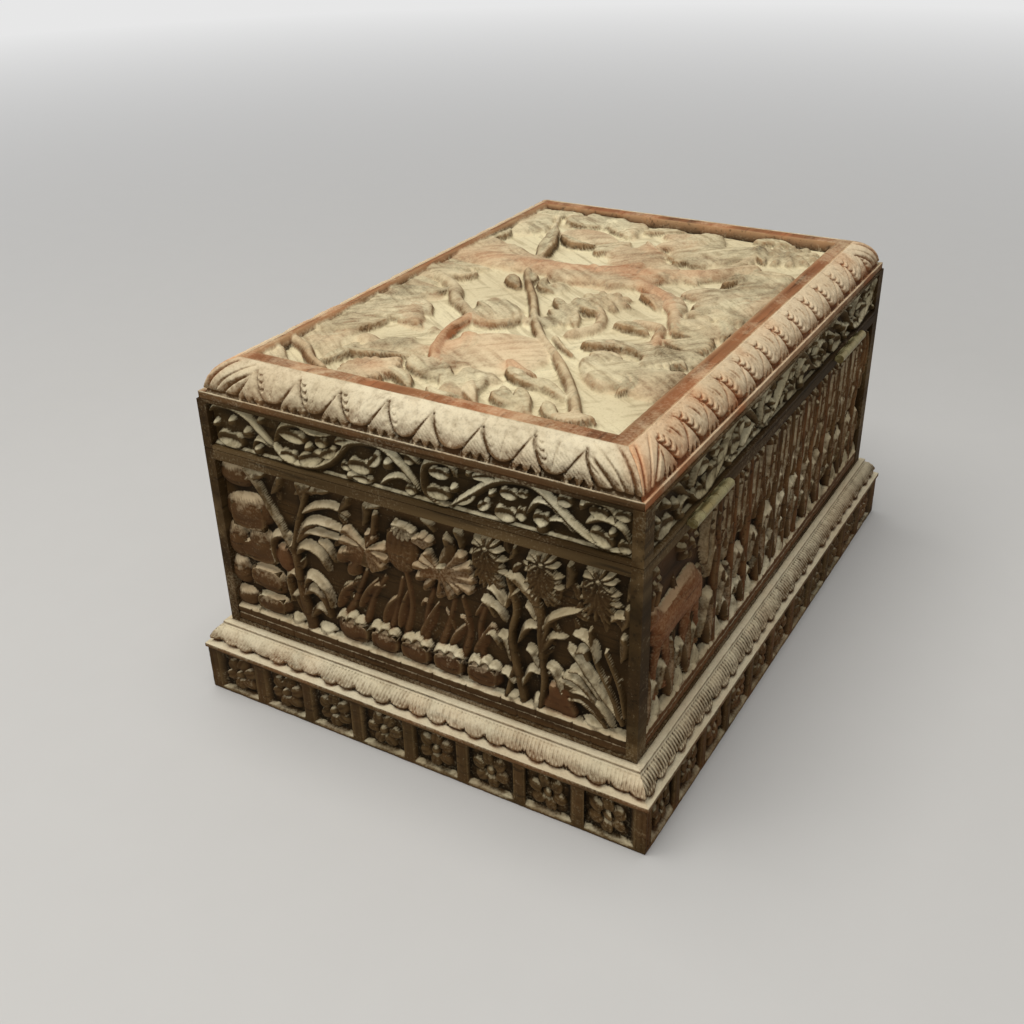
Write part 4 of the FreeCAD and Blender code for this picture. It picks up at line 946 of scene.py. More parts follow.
    # lower middle
    leaf(relief, [(-24, -66), (-22, -80), (-16, -94)], 13, 4.3, lean=0.5)
    dome(relief, (0, -66), (16, 15), 4.0, turn=30, strokes=0.6, tone=0.28, sharp=0.38)
    stem(relief, [(-8, -96), (4, -84), (16, -76)], 1.3, 1.1, 4.6, dust=-0.03)
    dome(relief, (20, -58), (8, 9), 5.0, turn=20, ribs=4, tone=0.12)
    dome(relief, (14, -54), (5, 5), 5.2, tone=0.16)
    leaves(relief, (
        (((18, -70), (24, -76), (32, -74)), 9, 4.6, 5, 0, 0, -0.05),
        (((0, -90), (10, -100), (14, -114)), 14, 4.2, 8, 0, 0.1),
        (((24, -84), (32, -96), (38, -110)), 13, 4.3, 8, 0.4, 0.06),
        (((38, -86), (48, -98), (46, -112)), 11, 4.6, 6),
        (((10, -106), (20, -116), (24, -126)), 11, 4.6, 6, 0, 0, -0.06),
        (((-18, -112), (-6, -120), (4, -124)), 9, 4.0, 6)))
    blossom(relief, (66, -108), 17, 4.8, rings=((11, 0.76, 0.25), (8, 0.44, 0.24)), tone=0.08, dust=-0.04)
    leaf(relief, [(50, -112), (54, -100), (60, -90)], 10, 5.2, teeth=5, lean=0.6, dust=-0.07)
    leaf(relief, [(42, -122), (52, -126), (64, -126)], 8, 4.2, teeth=5)
    # upper strip of leaves
    leaves(relief, (
        (((-6, 120), (2, 124), (10, 120)), 6, 5.0, 4, 0, 0, -0.07),
        (((-2, 98), (8, 104), (14, 116)), 10, 4.8, 6, 0, 0.05),
        (((8, 108), (12, 116), (20, 124)), 7, 5.0, 4, 0, 0.3),
        (((20, 112), (30, 116), (38, 112)), 9, 4.8, 5, 0, 0, -0.07),
        (((28, 104), (36, 114), (42, 122)), 8, 5.0, 5, 0, 0, -0.05),
        (((44, 110), (50, 118), (56, 124)), 8, 4.6, 5)))
    fan(relief, (58, 112), 70, 110, 13, 6, 4.8, tone=0.3)
    leaf(relief, [(-30, 112), (-20, 116), (-12, 124)], 8, 5.0, teeth=5, dust=-0.04)
    leaf(relief, [(-92, 112), (-84, 122), (-72, 126)], 12, 4.4, teeth=6, tone=0.2)


def carvedGround(relief, shift):
    # the ground is never flat: slow swells, and short hatched chisel strokes that change direction
    u, v = relief.u, relief.v
    swell = 0.25 + 0.22 * mottle(u, v, 16, shift) + 0.1 * mottle(u, v, 5, shift + 1)
    turn = 1.1 * mottle(u, v, 22, shift + 2)
    line = np.sin((u * np.cos(turn) + v * np.sin(turn)) * 2 * np.pi / carving["strokePitch"])
    return np.clip(swell + carving["groundStroke"] * line * (0.6 + 0.4 * mottle(u, v, 4, shift + 3)), 0.05,
                   0.9)


def settle(relief, depth, shift, roughness, worn):
    # joins shapes and ground, takes off the finest steps and leaves the marks of the knife
    ground = carvedGround(relief, shift)
    over = np.maximum(relief.height, ground)
    over = (1 - worn) * over + worn * softened(over, 1)
    raised = smoothStep(1.0, 2.5, over)
    marks = mottle(relief.u, relief.v, 1.5, shift + 5) * 0.6
    marks = marks + mottle(relief.u, relief.v, 3.6, shift + 6) * 0.7
    relief.height = np.clip(over + roughness * marks * raised, 0.03, depth)


def makeTop(sizes, recipe):
    # the sunk field with its carving, and the standing rim about it, on one grid
    fieldX, fieldY = sizes["halfLength"] - sizes["rim"], sizes["halfWidth"] - sizes["rim"]
    relief = Relief(linesWithSteps(sizes["halfLength"], (fieldX,), sizes["cell"]),
                    linesWithSteps(sizes["halfWidth"], (fieldY,), sizes["cell"]), turned=True)
    layTop(relief)
    raised = smoothStep(1.0, 2.5, relief.height)
    for y, x, reachY, reachX, strength in topTints:
        tint = strength * raised * np.exp(-((relief.v - y) / reachY) ** 2 - ((relief.u - x) / reachX) ** 2)
        relief.tone, relief.dust = relief.tone + tint, relief.dust + sizes["tintDust"] * tint
    settle(relief, sizes["depth"] - 0.1, 21, 0.12, sizes["worn"])
    # rim: stands at full height, its edges rounded and worn: depth - r (1 - sqrt(1 - s^2))
    u, v = relief.u, relief.v
    inner = np.maximum(np.abs(u) - fieldX, np.where(v < 0, -v - sizes["rimReach"], v - fieldY))
    outer = np.minimum(sizes["halfLength"] - np.abs(u), sizes["halfWidth"] - np.abs(v))
    edge = np.clip(np.minimum(outer, inner + 0.1) / sizes["edgeRound"], 0, 1)
    rim = sizes["depth"] - 0.55 * (1 - np.sqrt(1 - (1 - edge) ** 2 * 0.999))
    rim = rim - 0.1 * (1 + mottle(u, v, 7, 31)) - 0.07 * np.abs(mottle(u * 0.2, v * 0.2, 1.0, 32))
    onRim = inner > 0
    relief.height = np.where(onRim, rim, relief.height)
    relief.tone = np.where(onRim, sizes["rimTone"] + 0.2 * mottle(u, v, 20, 33), relief.tone)
    rimDust = sizes["rimDust"] + 0.25 * mottle(u * 0.5, v * 0.5, 9, 34)
    relief.dust = np.where(onRim, rimDust + sizes["outerDust"] * smoothStep(0.8, 0.0, outer), relief.dust)
    points = np.stack([u, v, sizes["ground"] + relief.height], axis=-1)
    foot = np.stack([u, v, np.full_like(u, sizes["foot"])], axis=-1)
    look = weatheredAndShaded(points, relief.height, relief.tone, relief.dust, recipe, 41)
    slab("lid_panel_carved", points, foot, look, topWood, "lid", ("lid_panel",))


makeTop(topSizes, topDust)
print("top panel carved")


# Carved fields of body and lid: (u, v) are millimetres from the side's middle and from the table
fieldSizes = {
    "bodyLow": 38.6, "bodyHigh": 123.65, "bodyDepth": 5.0, "courseTop": 46.6, "courseStand": 3.8,
    "courseFace": 4.6, "courseHem": 1.6, "courseFoot": 2.2, "brick": 17.0, "mortar": 0.55, "formStand": 3.45,
    "friezeLow": 130.25, "friezeHigh": 150.75, "friezeDepth": 4.0,
    "span": {"long": 142.0, "end": 101.0}, "cell": {"long": 0.52, "end": 0.46}, "clear": 0.06, "sink": 0.3,
}
bodyDust = dict(topDust, cell=0.5, far=7, upLow=0.4, onTop=0.95, raisedLoss=0.0, film=0.0, ridgeLoss=0.1,
                patches=0.05, rub=0.45, shade=0.9, redness=0.2, shadeFrom=0.15, shadeTo=1.6)
friezeDust = dict(bodyDust, onTop=1.0, film=-0.04, redness=0.03, rub=0.3, upHigh=0.9)


def layCourse(relief, sizes, shift):
    # two rows of blocks along the foot, half a block out of step; dust only on the upper arris of each row
    low, high, stand = sizes["bodyLow"], sizes["courseTop"], sizes["courseStand"]
    tall = (high - low) / 2
    window = (slice(0, int(np.searchsorted(relief.vs, high))), slice(None))
    u, v = relief.u[window], relief.v[window]
    row = np.floor((v - low) / tall)
    x = (u / sizes["brick"] + 0.5 * row + 0.03 * mottle(row * 40, u, 9, shift)) % 1.0 * sizes["brick"]
    y = (v - low) % tall
    joint = smoothStep(0.0, sizes["mortar"], np.minimum(np.minimum(x, sizes["brick"] - x),
                                                        np.minimum(y, tall - y)))
    face = sizes["courseFace"] - 0.2 * mottle(u, v, 2.4, shift + 2)
    hem, foot = high + sizes["courseHem"], sizes["courseFoot"]
    relief.dust = np.where((relief.v < hem) & (relief.height < foot), -0.35, relief.dust)
    relief.height = np.maximum(relief.height, foot * smoothStep(hem, high, relief.v))
    relief.height[window] = stand + (face - stand) * joint
    relief.tone[window] = 0.2
    relief.dust[window] = np.where(tall - y < 0.7, 0.4, -0.3)


# Outlines of the plain forms that already stand on the walls
def blockForm(u, v, width, height):
    # a rounded block: |x|^3 + |y|^3 = 1
    around = [math.radians(angle) for angle in range(0, 360, 24)]
    return [(u + width / 2 * math.copysign(abs(math.cos(a)) ** 0.67, math.cos(a)),
             v + height / 2 * math.copysign(abs(math.sin(a)) ** 0.67, math.sin(a))) for a in around]


def treeForm(u):
    # a trunk with a block of leaves at its head
    return [(u - 1.4, 49), (u + 1.4, 49), (u + 1.4, 107), (u + 6, 110), (u + 6, 119), (u - 6, 119),
            (u - 6, 110), (u - 1.4, 107)]


trees = (-70, -34, 2, 38, 74, 110)
beastForm = [(-129, 88), (-124, 94), (-98, 97), (-88, 91), (-90, 82), (-100, 81.5), (-124, 80.5)]
longForms = [treeForm(u) for u in trees] + [beastForm]
endForms = [blockForm(*block) for block in (
    (-33, 53, 13, 8), (-17, 53, 13, 8), (-1, 53, 13, 8), (16, 53, 13, 8), (33, 53, 13, 8),
    (-81, 52.5, 15, 7), (-82, 66, 16, 9), (-84, 79.5, 18, 9), (-88, 97, 18, 12), (-5, 106.5, 11, 11),
    (37, 111, 11, 10), (62, 111, 11, 10), (86, 111, 11, 10))]
endForms += [[(-33, 91), (-17, 90), (-15, 97), (-32, 98)], [(5, 94), (29, 98), (28, 104), (6, 98)],
             [(69, 60), (79, 57), (88, 52), (91, 54), (82, 61), (70, 64)]]


def flowerHead(relief, centre, size, shift=0):
    # rows of pointed petals that hang one over the other, with a star of small ones on top
    u, v = centre
    rows = ((6, 222, 318, -0.6, 0.9, 3.6), (7, 205, 335, -0.3, 0.85, 4.1), (8, 190, 350, 0.0, 0.75, 4.5),
            (10, 0, 324, 0.3, 0.62, 4.9))
    for count, first, last, drop, length, stand in rows:
        for index in range(count):
            angle = math.radians(first + (last - first) * index / (count - 1)
                                 + 4 * math.sin(index * 2.1 + shift))
            du, dv = math.cos(angle), math.sin(angle)
            base = (u + du * size * 0.08, v + size * drop + dv * size * 0.08)
            tip = (base[0] + du * size * length, min(base[1] + dv * size * length, 122.8))
            middle = ((base[0] + tip[0]) / 2 + 0.4 * dv, (base[1] + tip[1]) / 2 - 0.4 * du)
            sickle(relief, [base, middle, tip], size * 0.34, stand, drop=0.8, powder=0.14, blunt=0.7,
                   dust=-0.06 + 0.14 * (count == 10))
    dome(relief, (u, v + size * 0.28), (size * 0.14, size * 0.14), 4.9, dust=0.3)


# Leaves of an end: path, width, powder and scallops, then how far it stands out where they differ in that
archedLeaves = (
    (((-64, 87), (-67, 92), (-71, 92), (-75.5, 87), (-74, 75)), 6.2, 0.6, 0, 4.6),
    (((-60.5, 91), (-55, 100.5), (-48, 104.5), (-38, 104.5), (-32, 103)), 6.4, 0.45, 5, 4.8),
    (((-60, 92), (-54, 98), (-44, 99), (-33, 99.5)), 4.8, 0.15, 0, 4.3),
    (((-56, 107), (-50, 111), (-42, 114), (-36, 114), (-30, 111)), 5.0, 0.35, 0, 4.3),
    (((-61.5, 85), (-58, 89.5), (-52, 89.6), (-47, 86), (-44, 80)), 7.0, 0.5, 4, 4.8),
    (((-49, 95.5), (-44, 92.5), (-39.5, 86)), 5.0, 0.5, 0, 4.3),
    (((-61.8, 71), (-64.5, 74.5), (-68.5, 70), (-67, 57)), 6.6, 0.65, 0, 4.6),
    (((-59.5, 68), (-56, 74.5), (-51, 73), (-46, 67.5), (-45, 60)), 6.8, 0.5, 4, 4.8),
    (((-60, 64), (-55, 68), (-49, 64), (-46, 55)), 7.0, 0.0, 0, 4.2),
    (((-58, 52), (-52, 59), (-46, 55)), 6.0, 0.05, 3, 4.0),
    (((-61, 52), (-66, 62), (-70, 56)), 6.0, 0.05, 3, 4.0),
)
tallLeaves = (
    (((46.5, 107.5), (53, 103.5), (59, 97), (61.5, 87)), 4.2, 0.24, 0),
    (((37, 98.5), (41, 97.5), (45.5, 91)), 5.6, 0.7, 3),
    (((46, 91), (47.5, 97), (52, 101)), 3.6, 0.4, 0),
    (((54.5, 95.5), (57, 94), (60, 88.5)), 3.8, 0.6, 0),
    (((62.5, 86), (66, 92), (72, 96.5), (80, 100.5)), 4.6, 0.5, 0),
    (((39, 90.5), (42.5, 89), (46, 83.5)), 4.0, 0.5, 0),
    (((61, 87), (55, 84.5), (50.5, 75)), 5.0, 0.5, 0),
    (((41.5, 77), (45, 75.5), (48, 65)), 4.8, 0.65, 0),
    (((62.5, 76), (67, 84), (73.5, 85)), 4.4, 0.2, 0),
    (((54.5, 74.5), (57.5, 73.5), (61, 66)), 5.0, 0.6, 0),
    (((76, 89), (80.5, 88.5), (84.5, 85), (86.5, 77)), 5.4, 0.7, 0),
    (((77, 80), (81, 82), (83, 77)), 5, 0.1, 0),
    (((73.5, 82), (77, 78.5), (84, 70), (91, 61), (98, 53)), 5.4, 0.6, 3),
    (((74, 70), (79, 71.5), (84, 67), (89, 60)), 6.0, 0.6, 0),
    (((71, 66), (76, 67), (83, 63), (92, 53)), 6.5, 0.0, 0),
    (((64, 69), (67.5, 67.5), (72, 57)), 6.2, 0.65, 0),
    (((61.5, 64), (56.5, 64), (52.5, 54)), 4.2, 0.55, 0),
    (((75, 60.5), (81, 61.5), (88, 58), (94.5, 48)), 6.4, 0.7, 4),
    (((74, 56), (80, 57.5), (87, 53), (92, 47)), 5.6, 0.05, 0),
    (((42.5, 58.5), (46, 58.5), (49.5, 54)), 4.4, 0.6, 0),
    (((92, 100), (95.5, 103), (99, 103)), 4.4, 0.4, 0),
    (((34, 92), (38, 90), (41, 84)), 4.5, 0.1, 0), (((44, 70), (39, 76), (35, 74)), 4.0, 0.15, 0),
)
# Path, powder and width
foldedLeaves = (
    (((-42, 62), (-37, 72), (-29, 80)), 0.1, 7), (((-30, 66), (-25, 75), (-19, 84)), 0.05, 6),
    (((-24, 75), (-20, 80), (-15, 81)), 0.28, 5.2), (((-17, 62), (-13, 72), (-7, 80)), 0.16, 7),
    (((-9, 62), (-6, 74), (-3, 84)), 0.05, 6), (((3, 77), (5.5, 80.5), (8, 77)), 0.4, 3.4),
    (((2, 62), (8, 72), (12, 82)), 0.05, 7), (((15, 80), (17.5, 76), (20, 69)), 0.14, 3.0),
    (((22, 78), (25, 77.5), (28, 72)), 0.6, 4.2), (((17, 62), (22, 70), (26, 76)), 0.05, 6),
    (((30, 81), (33, 86), (35, 91)), 0.34, 3.4), (((36, 75), (38.5, 78.5), (41, 76)), 0.4, 3.2),
    (((29, 62), (34, 70), (38, 80)), 0.08, 7),
)


def layEnd(relief, variant):
    # as seen from outside: rocks at the left, flowers in the middle, tall leaves at the right
    for number, (u, v, width, height) in enumerate((
            (-93, 116.5, 20, 13), (-88, 99.5, 30, 17.5), (-97, 82, 15, 20), (-83, 83, 17, 20),
            (-98, 65.5, 12.5, 16), (-81, 65, 21, 15.5), (-96.5, 51.5, 15, 11), (-79, 51.8, 18, 11))):
        boulder(relief, (u, v), width, height, 4.5, number + variant, tone=0.3)
    for number, (u, width) in enumerate(((-35, 18), (-17, 16.5), (0, 15.5), (16.8, 15.5), (34, 17.5))):
        boulder(relief, (u, 52.6), width, 13, 4.8, number + variant + 3, tone=0.5)
        for start, finish, rise in ((-8, 0, 2.2), (-3, 5, 3.2), (2, 8.5, 1.6)):
            sickle(relief, [(u + start, 57), (u + (start + finish) / 2, 58 + rise), (u + finish, 57.5)], 3.0,
                   4.7, powder=0.42, drop=0.5, under=0.3)
    # plant beside the rocks: fork, arched leaves and a reddish bud
    stem(relief, [(-58, 47), (-61, 60), (-62.5, 74), (-63.5, 88)], 3.4, 1.7, 4.2, tone=0.15)
    stem(relief, [(-64.5, 86), (-69, 96), (-74, 104), (-80, 114.5), (-86, 122)], 1.4, 2.0, 4.3, dust=0.24)
    stem(relief, [(-63, 88), (-59.5, 101), (-56, 110), (-53, 118)], 1.8, 1.3, 4.2)
    dome(relief, (-69.5, 79.5), (5, 7.5), 4.4, tone=0.9, turn=15)
    for path, width, powder, scallops, stand in archedLeaves:
        sickle(relief, path, width * 0.86, stand, tone=0.12, dust=-0.08, powder=powder * 0.9, under=0.05,
               drop=0.85, scallops=scallops)
    # leaves under the top edge
    for u, v, length, turn in ((-76, 121, 12, 205), (-67, 122, 12, 240), (-58, 122, 12, 285),
                               (-50, 122, 12, 215), (-40, 122, 13, 195), (-30, 122, 11, 235),
                               (-22, 121, 12, 262), (-13, 122, 9, 200), (6, 122, 9, 320), (22, 121, 10, 290),
                               (50, 121, 8, 250), (74, 120, 12, 265), (100, 121, 11, 262),
                               (99, 108, 12, 258), (97, 94, 13, 268)):
        angle = math.radians(turn)
        du, dv = length * math.cos(angle), length * math.sin(angle)
        sickle(relief, [(u, v), (u + du * 0.5 + 1.2, v + dv * 0.5 + 0.6), (u + du, v + dv)], length * 0.42,
               3.9, powder=0.16, under=0.2, drop=0.5, scallops=3)
    # butterfly-shaped leaves, the ribbed bud and the small leaves beside it
    for (u, v), wings in (((-23, 99), ((60, 112, 12.5, 4, -28), (40, 50, 9, 2, 66), (50, 84, 14, 3, 178),
                                       (10, 56, 18.5, 2, 225))),
                          ((14.5, 98.5), ((50, 84, 13, 3, -64), (64, 84, 17.5, 4, 12), (56, 52, 11, 2, 146),
                                          (40, 76, 14, 3, 208)))):
        for number, (dusted, spread, radius, lobes, turn) in enumerate(wings):
            fan(relief, (u, v), turn, spread, radius, lobes, 4.9 - 0.15 * number, tone=0.4,
                dust=-0.06 + dusted / 320, cut=3.1)
    dome(relief, (-4.5, 103.5), (9.0, 12.4), 4.7, turn=-10, ribs=9, tone=0.26)
    fan(relief, (-2.5, 116), 262, 170, 7.5, 8, 4.9, tone=0.1, dust=0.34, cut=1.2)
    fan(relief, (7, 107), 95, 120, 7.5, 3, 4.7, tone=0.4, dust=0.26, cut=1.0)
    sickle(relief, [(15, 103), (19.5, 110), (17, 117)], 6.5, 4.4, tone=0.1, powder=0.3, under=-0.1, drop=0.6)
    stem(relief, [(-17.5, 116), (-18.5, 110), (-20, 103)], 1.5, 1.8, 3.4, tone=0.3)
    for number, u in enumerate((37.5, 62.5, 87)):
        flowerHead(relief, (u, 113.5), 11.0, number + variant)
    # stems and folded leaves over the reddish ground of the middle, their edges thin and pale
    for path in (((-38, 60), (-32, 70), (-25, 86)), ((-27, 60), (-22, 74), (-15, 86)),
                 ((-14, 60), (-10, 72), (-6, 88)), ((-6, 60), (-2, 76), (-4, 92)),
                 ((4, 60), (6, 76), (10, 88)), ((12, 60), (17, 74), (20, 86)),
                 ((24, 60), (27, 74), (24, 88)), ((33, 60), (32, 76), (36, 90))):
        stem(relief, path, 2.0, 1.3, 2.0, tone=0.45, sharp=0.8, dust=-0.12)
    for path, powder, width in foldedLeaves:
        sickle(relief, path, width * 0.7, 2.9, tone=0.45, dust=-0.08, powder=powder, under=-0.6, drop=0.8)
    # tall plants at the right: slender stems, arched blades that catch dust on their upper facets
    for path, start, finish in ((((53, 47), (50, 62), (47.5, 78), (50, 92), (47, 106)), 2.2, 1.3),
                                (((61, 47), (62.5, 62), (61, 80), (60.5, 96), (50, 106)), 1.6, 1.9),
                                (((45, 47), (47, 56), (49, 64)), 1.6, 1.0),
                                (((62, 70), (63, 82), (66, 92)), 1.4, 1.0),
                                (((98, 52), (92, 66), (86, 78), (83, 92)), 1.2, 0.8),
                                (((99, 56), (96, 70), (90, 84)), 1.0, 0.8)):
        stem(relief, path, start, finish, 4.1, dust=0.02)
    for path, width, powder, scallops in tallLeaves:
        sickle(relief, path, width * 0.88, 4.75, dust=-0.08, powder=powder * 1.1, under=0.1, drop=0.85,
               scallops=scallops)
    # pot: a trapezoid with a rounded face, and heaps of dust along the foot
    mass(relief, [(61.8, 47), (77.4, 47), (75.5, 56), (73.6, 60.5), (65.6, 60.5), (63.8, 56)], 4.3,
         tone=0.95, wander=0.0, hatch=0.0, crown=0.3)
    for u, width, high in ((-66.5, 10, 4.5), (-50, 12, 4.5), (47.5, 9, 3.6), (59, 5, 6), (86, 15, 3.6),
                           (-88.5, 3, 4)):
        dome(relief, (u, 46.6), (width / 2, high), 4.2, dust=0.45, sharp=1.0)
    scatter(relief, 26, 5 + variant, (44, 100, 62, 118), (6, 10), 2.4)
    scatter(relief, 16, 9 + variant, (-72, -30, 64, 118), (6, 10), 2.4)


def layLong(relief, variant):
    # a beast under trees: trunks with hanging leaves, low shrubs along the ground
    limbs(relief, [
        ((-124, 87), (-98, 90), 9.5, 10.5), ((-100, 88), (-92, 86), 10, 9),
        ((-126, 90), (-134, 97), 6.5, 5.0),
        ((-134, 97), (-138, 92), 4.6, 3.0), ((-126, 80), (-130, 66), 3.6, 2.4),
        ((-130, 66), (-128, 54), 2.3, 2.0),
        ((-119, 80), (-117, 66), 3.6, 2.4), ((-117, 66), (-119, 54), 2.3, 2.0),
        ((-97, 80), (-101, 66), 4.4, 2.6), ((-101, 66), (-98, 54), 2.4, 2.0),
        ((-90, 80), (-87, 67), 4.4, 2.6), ((-87, 67), (-90, 54), 2.4, 2.0),
        ((-86, 90), (-81, 76), 1.6, 1.2)], 4.9, tone=1.0, dust=0.2)
    sickle(relief, [(-133, 101), (-130, 107), (-126, 108)], 3, 4.4, tone=0.4)
    sickle(relief, [(-136, 101), (-137, 106), (-134, 110)], 3, 4.4, tone=0.4)
    trunks = [(u, 0.7 * math.sin(u), 3.0) for u in trees]
    trunks = trunks + [(u + 18, 1.6 * math.sin(u + 1), 2.1) for u in trees]
    for number, (u, bend, half) in enumerate(trunks):
        stem(relief, [(u - bend, 47), (u + bend, 66), (u - bend, 88), (u + bend, 106), (u + bend * 2, 121)],
             half, half * 0.75, 4.7, tone=0.2 + 0.18 * math.sin(number * 2.3 + variant), strokes=2.2)
        for side in (-1, 1):
            stem(relief, [(u + bend, 92), (u + 6 * side, 104), (u + 12 * side, 111)], 1.8, 1.0, 4.2,
                 tone=0.12)
            for step in range(2):
                v = 74 + 20 * step + 4 * math.sin(number + step + side)
                reach = 9.5 - 1.5 * step
                sickle(relief, [(u + 1.5 * side, v - 5), (u + reach * 0.5 * side, v + 3),
                                (u + reach * side, v), (u + (reach + 1.5) * side, v - 10)], 6.6, 4.6,
                       tone=0.1, powder=0.55, under=0.2, drop=0.9)
            for step in range(2):
                at = u + (4.5 + 6.5 * step) * side
                sickle(relief, [(at, 121 - step), (at + 2.5 * side, 111 - 2 * step),
                                (at + 1.5 * side, 95 - 3 * step)], 6.6, 4.7,
                       tone=0.15, powder=0.62, under=-0.05, drop=0.9, scallops=3)
    for number in range(9):
        u = -136 + 32.4 * number + 3 * math.sin(number * 1.7 + variant)
        blossom(relief, (u, 113 + 3 * math.sin(number * 2.9)), 7.5 + 0.8 * math.sin(number), 4.9,
                rings=((8, 0.72, 0.34),), heart=0.3, dust=0.04)
    for number in range(14):
        u = -138 + 21 * number + 2 * math.sin(number * 2.3 + variant)
        for side in (-1, 1):
            sickle(relief, [(u, 47), (u + 2 * side, 58), (u + 7 * side, 64 + 3 * math.sin(number)),
                            (u + 10.5 * side, 55)], 5.6, 4.5, powder=0.45, under=0.1, drop=0.9)
        sickle(relief, [(u, 48), (u + 1.2, 62), (u, 76)], 5.4, 4.7, tone=0.3, powder=0.4, under=-0.1,
               drop=0.9)
        dome(relief, (u + 10.5, 46.6), (6.0, 9.0), 4.4, dust=0.6, sharp=1.0)
    scatter(relief, 30, 15 + variant, (-140, 140, 66, 116), (9, 14), 2.6)
    scatter(relief, 12, 19 + variant, (-80, 140, 70, 104), (10, 15), 3.2)


# A scroll of leaves that curl from an undulating stem: blades, hollowed leaves and buds, laid once on an end
# and twice on a long side
scroll = {
    "blades": (
        (((-101, 146), (-97, 149.3), (-88, 149.8), (-80, 147), (-74, 142), (-66.5, 136)), 5.5),
        (((-78, 133.5), (-76, 137.5), (-72, 138), (-67, 135.5)), 3.6),
        (((-66, 139), (-61, 147), (-53, 149.8), (-46, 147.5), (-40, 148), (-34, 149.5)), 5.0),
        (((-67, 138), (-62, 132.5), (-54, 131), (-44, 132.5), (-36, 137), (-30, 143), (-25, 148)), 6.4),
        (((-32, 141), (-26, 147.5), (-17, 149.8), (-9, 149), (-1, 143.5), (5, 137.5), (7.5, 133)), 5.5),
        (((-12, 132.5), (-6, 137), (0, 138.5), (4, 136)), 4.0), (((-1, 149.5), (4, 149.5), (8.5, 146)), 4.0),
        (((25, 144.5), (23, 149), (17, 149.8), (11, 147), (9.5, 140), (11, 134.5), (17, 131.6), (24, 131.8)),
         4.8),
        (((22, 131.8), (33, 140), (43, 147.5), (52, 149.9), (60, 149.3), (68, 144), (76, 137.5), (86, 132.5),
          (99, 131)), 6.0),
        (((56.5, 137.5), (61, 143.5), (67, 143.5), (71, 139)), 4.0),
        (((79, 145), (83, 149.5), (91, 149), (94, 143)), 4.6),
        (((81, 140), (88, 143.5), (96, 141.5), (100, 135.5)), 5.0),
        (((66, 137), (72, 138.5), (77, 134)), 3.5)),
    "cups": (
        (-91, 134.8, 8, 4.4, 0), (-56, 144, 7.5, 3.4, -6), (-59, 134.4, 5, 3.2, 0), (-47, 136, 8, 3.6, 20),
        (-37.5, 140.5, 5, 2.8, 28), (-41, 144.5, 3.4, 2.8, 0), (-29.5, 147.6, 5.5, 2.0, 14),
        (-21.5, 138.5, 6.5, 4.0, 0), (-14, 143, 4.5, 3.0, 50), (-29, 136.6, 3.0, 2.4, 0),
        (-21, 132.8, 6, 2.2, 0), (3, 133.8, 3.0, 2.6, 0),
        (3, 147, 2.8, 2.4, 0), (17, 144.8, 5.4, 3.0, 0), (16.5, 136.0, 6, 3.4, 0), (29, 136.6, 6, 2.6, 36),
        (38, 148.2, 7, 2.2, 12), (37, 135.8, 3.6, 2.6, 40), (48.5, 143.8, 4.5, 3, 0),
        (47, 134.8, 5.5, 3.8, 0), (53.8, 136.5, 2.4, 3.8, 0), (54.5, 145, 2.5, 2, 0),
        (62.5, 136.8, 4, 3.4, 0), (72.5, 147, 3.6, 3.0, 0),
        (88, 135.6, 6, 3.2, -22), (97.5, 134.2, 3.6, 3, 0), (86.5, 146, 4.6, 2.8, 0),
        (96.5, 147, 3.6, 2.8, 0)),
    "buds": ((-89, 143.5, 2.3), (-81, 139.6, 2.7), (-76, 133, 2.4), (-72.5, 147.5, 2.0), (-48, 140.6, 2.0),
             (-27, 132.8, 2.0), (-7.5, 142.5, 2.6), (31, 148.4, 1.8), (23.5, 139.5, 2.0), (62.8, 132.8, 2.8),
             (41, 142, 1.8), (80, 147.5, 1.8), (-98, 141, 2.0), (92, 138.6, 1.8)),
    "moves": {"long": (-38, 168), "end": (0,)},
}


def layFrieze(relief, kind, sizes):
    # the scroll, a ledge of dust along its foot, and painted shade on its sunk ground
    for move in scroll["moves"][kind]:
        for points, width in scroll["blades"]:
            sickle(relief, [(u + move, v) for u, v in points], width * 0.86, 3.95, under=-0.15, drop=0.95,
                   powder=0.8, dust=-0.18)
        for u, v, reach, rise, turn in scroll["cups"]:
            cup(relief, (u + move, v), (reach, rise), 3.8, turn, dust=-0.12, powder=0.8)
        for u, v, size in scroll["buds"]:
            dome(relief, (u + move, v), (size, size), 3.95, powder=0.35)
    ledge = smoothStep(sizes["friezeLow"] + 1.6, sizes["friezeLow"] + 0.4, relief.v)
    # the sunk ground keeps less dust: painted shade in the deep recess
    relief.dust = relief.dust - np.where(relief.height < 0.6, 0.3, 0) + 0.45 * ledge
    relief.height = np.maximum(relief.height, 1.9 * ledge)


def makeField(name, side, low, high, depth, layout, recipe, material, body, shift, forms=()):
    # the carving of one side, a thin board let into the wall: y = -(reach - depth + height)
    sizes = fieldSizes
    span, cell = sizes["span"][side["kind"]], sizes["cell"][side["kind"]]
    across = np.linspace(-span + sizes["clear"], span - sizes["clear"], int(2 * span / cell) + 1)
    upward = np.linspace(low + sizes["clear"], high - sizes["clear"], int((high - low) / cell) + 1)
    relief = Relief(across, upward, side["hand"])
    layout(relief)
    settle(relief, depth - 0.03, shift, 0.1, 0.4)
    for form in forms:
        keepAbove(relief, form, sizes["formStand"])
    ground = side["reach"] - depth

    def lay(height):
        return turned(np.stack([relief.u, -(ground + height), relief.v], axis=-1), side["angle"])

    points = lay(relief.height)
    look = weatheredAndShaded(points, relief.height, relief.tone, relief.dust, recipe, shift)
    slab(name, points, lay(np.full_like(relief.u, -sizes["sink"])), look, material, body)


